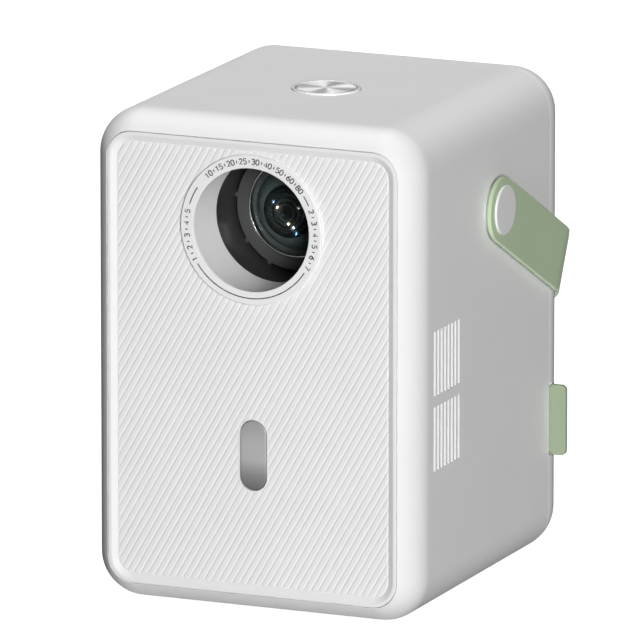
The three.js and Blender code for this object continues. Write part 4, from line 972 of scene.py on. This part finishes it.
# ------------------------------------------------------------------ finishes of the CAD pieces that are shown
KEEP = {
    "rear_element": "glass_rear", "focus_gear": "gear", "focus_pinion": "gear", "focus_motor": "can", "engine_housing": "black",
    "field_lens": "glass_rear", "lcd_panel": "dark_glass", "condenser_lens": "glass_rear", "led_module": "led", "heatsink": "metal",
    "fan_frame": "black", "fan_rotor": "black", "button_board": "pcb", "filter_frame": "frame", "filter_mesh": "net_black",
    "speaker_box_right": "black", "speaker_box_left": "black", "speaker_driver_right": "driver", "speaker_driver_left": "driver",
    "main_board": "pcb", "chip_heatsink": "metal", "power_board": "pcb", "port_plate": "plate", "hdmi_socket": "can", "usb_socket": "can",
    "audio_socket": "black", "dc_socket": "black", "sensor_board": "pcb", "focus_camera": "dark_glass", "tripod_insert": "brass",
    "cover_screw_left": "screw", "cover_screw_right": "screw",
}
for node, key in KEEP.items():
    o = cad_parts[node]
    o.data.materials.clear()
    o.data.materials.append(M[key])
for n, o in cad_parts.items():
    if not o.hide_render and n not in KEEP:
        raise RuntimeError("no finish for " + n)

# ------------------------------------------------------------------ stage
def stage_mat(name, base, glow):
    n = Nodes(name)
    p = n.add("ShaderNodeBsdfPrincipled")
    n.link(p.outputs[0], n.out.inputs["Surface"])
    n.link(n.mix(n.noise(0.8, 2.0), scale_col(base, 0.99), scale_col(base, 1.01)), p.inputs["Base Color"])
    p.inputs["Roughness"].default_value = 1.0
    p.inputs["Specular IOR Level"].default_value = 0.0
    p.inputs["Emission Color"].default_value = (1, 1, 1, 1)
    p.inputs["Emission Strength"].default_value = glow
    return n.mat


def stage_piece(name, pts, glow):
    me = bpy.data.meshes.new(name)
    nf = 96
    v, f = skin([[(r * math.cos(2 * math.pi * i / nf), r * math.sin(2 * math.pi * i / nf), z) for i in range(nf)] for r, z in pts], cap=(True, True))
    me.from_pydata([tuple(p) for p in v], [], f)
    for q in me.polygons:
        q.use_smooth = True
    ob = bpy.data.objects.new(name, me)
    bpy.context.scene.collection.objects.link(ob)
    me.materials.append(stage_mat(name, (0.30, 0.30, 0.30, 1), glow))
    ob.visible_diffuse = False
    ob.visible_shadow = False
    ob.visible_transmission = False
    return ob


floor = stage_piece("studio_floor", [(r, 0.0) for r in (0.01, 0.5, 2.0, 5.0, 9.0)], 0.95)
dome = stage_piece("studio_backdrop", [(9.0, 0.0)] + [(9.0 * math.cos(math.radians(a)), 9.0 * math.sin(math.radians(a))) for a in (10, 20, 30, 40, 50, 60, 70, 80, 89.5)], 1.1)
dome.visible_glossy = False
floor.visible_glossy = False

world = bpy.data.worlds.new("studio")
bpy.context.scene.world = world
world.use_nodes = True
world.node_tree.nodes["Background"].inputs[0].default_value = (1, 1, 1, 1)
world.node_tree.nodes["Background"].inputs[1].default_value = 0.015

CEN = Vector(W2([(0, 0, ZM)])[0])


def lamp(name, direction, dist, size, irradiance, size_y=None, colour=(1, 1, 1)):
    """An area lamp that gives a face turned to it this irradiance, W/m2."""
    d = Vector(direction).normalized()
    li = bpy.data.lights.new(name, "AREA")
    li.shape = "RECTANGLE"
    li.size, li.size_y = size, size_y or size
    li.energy = irradiance * math.pi * dist * dist
    li.color = colour
    o = bpy.data.objects.new(name, li)
    bpy.context.scene.collection.objects.link(o)
    o.location = CEN + d * dist
    o.rotation_mode = "QUATERNION"
    o.rotation_quaternion = (-d).to_track_quat("-Z", "Y")
    o.visible_camera = False
    return o


ALB = 0.80
UNIT = math.pi / ALB                     # irradiance that makes the white plastic read 1.0
studio = [lamp("key", (0.53, -0.825, 0.19), 4.0, 1.1, 0.855 * UNIT),
          lamp("top", (-0.26, 0.25, 0.93), 3.0, 1.8, 0.556 * UNIT),
          lamp("low", (0.30, -0.45, -0.85), 3.0, 2.0, 0.13 * UNIT)]
lamp("floor_bounce", (-0.384, 0.55, -0.75), 3.0, 2.0, 0.14 * UNIT)
for o in (lamp("rear", (-0.50, 0.86, 0.1), 4.0, 1.4, 0.36 * UNIT), lamp("left", (-0.80, 0.60, 0.0), 4.0, 1.2, 0.05 * UNIT)):
    o.visible_glossy = False

# ------------------------------------------------------------------ camera axes
right = Vector((0.9190, 0.3943, 0.0)).normalized()
fwd = Vector((-0.3844, 0.8960, -0.2224))
fwd = (fwd - right * fwd.dot(right)).normalized()
down = fwd.cross(right)


def only_for(lamp_ob, name, *objs):
    """The lamp lights these objects alone and nothing shades it."""
    rc = bpy.data.collections.new("lit_" + name)
    bc = bpy.data.collections.new("shade_" + name)
    for o in objs:
        rc.objects.link(o)
    bc.objects.link(floor)
    lamp_ob.light_linking.receiver_collection = rc
    lamp_ob.light_linking.blocker_collection = bc


# the front glass mirrors none of the big lamps, as its coating doesn't in the photograph
for k_, o in enumerate(studio):
    unlit = bpy.data.collections.new(f"unlit_{k_}")
    unlit.objects.link(g)
    for c in unlit.collection_objects:
        c.light_linking.link_state = "EXCLUDE"
    o.light_linking.receiver_collection = unlit

# small window lamps close to the front glass, which it mirrors as glints
SPHERE = Vector(W2([(0, DOME_C, LENS_Z)])[0])
for k_, (du, dv, size, power, colour) in enumerate([
        (-29.3, -2.2, 0.0015, 2.2, (0.25, 0.55, 1.0)), (-25.4, 3.3, 0.0016, 4.5, (1.0, 0.66, 0.45)),
        (-14.6, 19.6, 0.0015, 4.5, (1.0, 0.66, 0.45)), (-9.8, 24.0, 0.0020, 2.2, (0.85, 0.95, 1.0)), (-6.8, 29.2, 0.0015, 2.2, (0.25, 0.55, 1.0))]):
    nr, nd = du / (2.4394 * DOME_R), dv / (2.4394 * DOME_R)
    nrm = right * nr + down * nd - fwd * math.sqrt(1 - nr * nr - nd * nd)
    spot = SPHERE + nrm * (DOME_R / 1000)
    view = -fwd
    out_dir = nrm * (2 * nrm.dot(view)) - view
    li = bpy.data.lights.new(f"glint_{k_}", "AREA")
    li.shape, li.size = "DISK", size
    li.energy = power * 340 * math.pi * math.pi * size * size / 4
    li.color = colour
    o = bpy.data.objects.new(f"glint_{k_}", li)
    bpy.context.scene.collection.objects.link(o)
    o.location = spot + out_dir * 0.012
    o.rotation_mode = "QUATERNION"
    o.rotation_quaternion = (-out_dir).to_track_quat("-Z", "Y")
    o.visible_camera = False
    o.visible_diffuse = False              # light that leaves the cell through the glass doesn't pick it up
    only_for(o, f"glint_{k_}", g)

# a soft panel above and behind that only the metal button mirrors
panel = lamp("button_panel", (-0.384, 0.896, 0.30), 2.5, 1.5, 0.066 * UNIT, 1.0)
only_for(panel, "button", bpy.data.objects["button_disc"])
streak = lamp("button_streak", (0.07, 0.69, 0.72), 2.5, 0.7, 0.035 * UNIT)
only_for(streak, "button_streak", bpy.data.objects["button_disc"])
# a low front lamp for the strap's edges, and a rear panel that the metal pieces at the back mirror
edge_lamp = lamp("strap_edge", (0.10, -0.75, -0.66), 3.0, 1.2, 0.22 * UNIT)
only_for(edge_lamp, "strap_edge", bpy.data.objects["strap_body"])
back = lamp("rear_panel", (-0.30, 0.90, 0.35), 3.0, 3.0, 0.40 * UNIT)
only_for(back, "rear_metal", *[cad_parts[q] for q in ("cover_screw_left", "cover_screw_right", "hdmi_socket", "usb_socket")])

bpy.context.scene.view_settings.view_transform = "Standard"
bpy.context.scene.view_settings.look = "None"
bpy.context.scene.view_settings.exposure = 0.0
bpy.context.scene.view_settings.gamma = 1.0

# ------------------------------------------------------------------ camera at the photograph's viewing angle
F_PX, U0, V0, SC_PX = 12454.0, 328.91, 328.48, 2.4394
cam_mm = right * (-(U0 - 319.5) / SC_PX) + down * (-(V0 - 319.5) / SC_PX) + fwd * (-F_PX / SC_PX) + Vector((0, 0, H / 2 + Z0))
cam_data = bpy.data.cameras.new("camera")
cam_data.sensor_width = 36.0
cam_data.lens = F_PX / 640.0 * 36.0
cam_data.clip_start, cam_data.clip_end = 0.1, 60.0
cam = bpy.data.objects.new("camera", cam_data)
bpy.context.scene.collection.objects.link(cam)
cam.rotation_mode = "QUATERNION"
rot = Matrix((right, -down, -fwd)).transposed()
cam.rotation_quaternion = rot.to_quaternion()
cam.location = V3(cam_mm.x, cam_mm.y, cam_mm.z)
bpy.context.scene.camera = cam
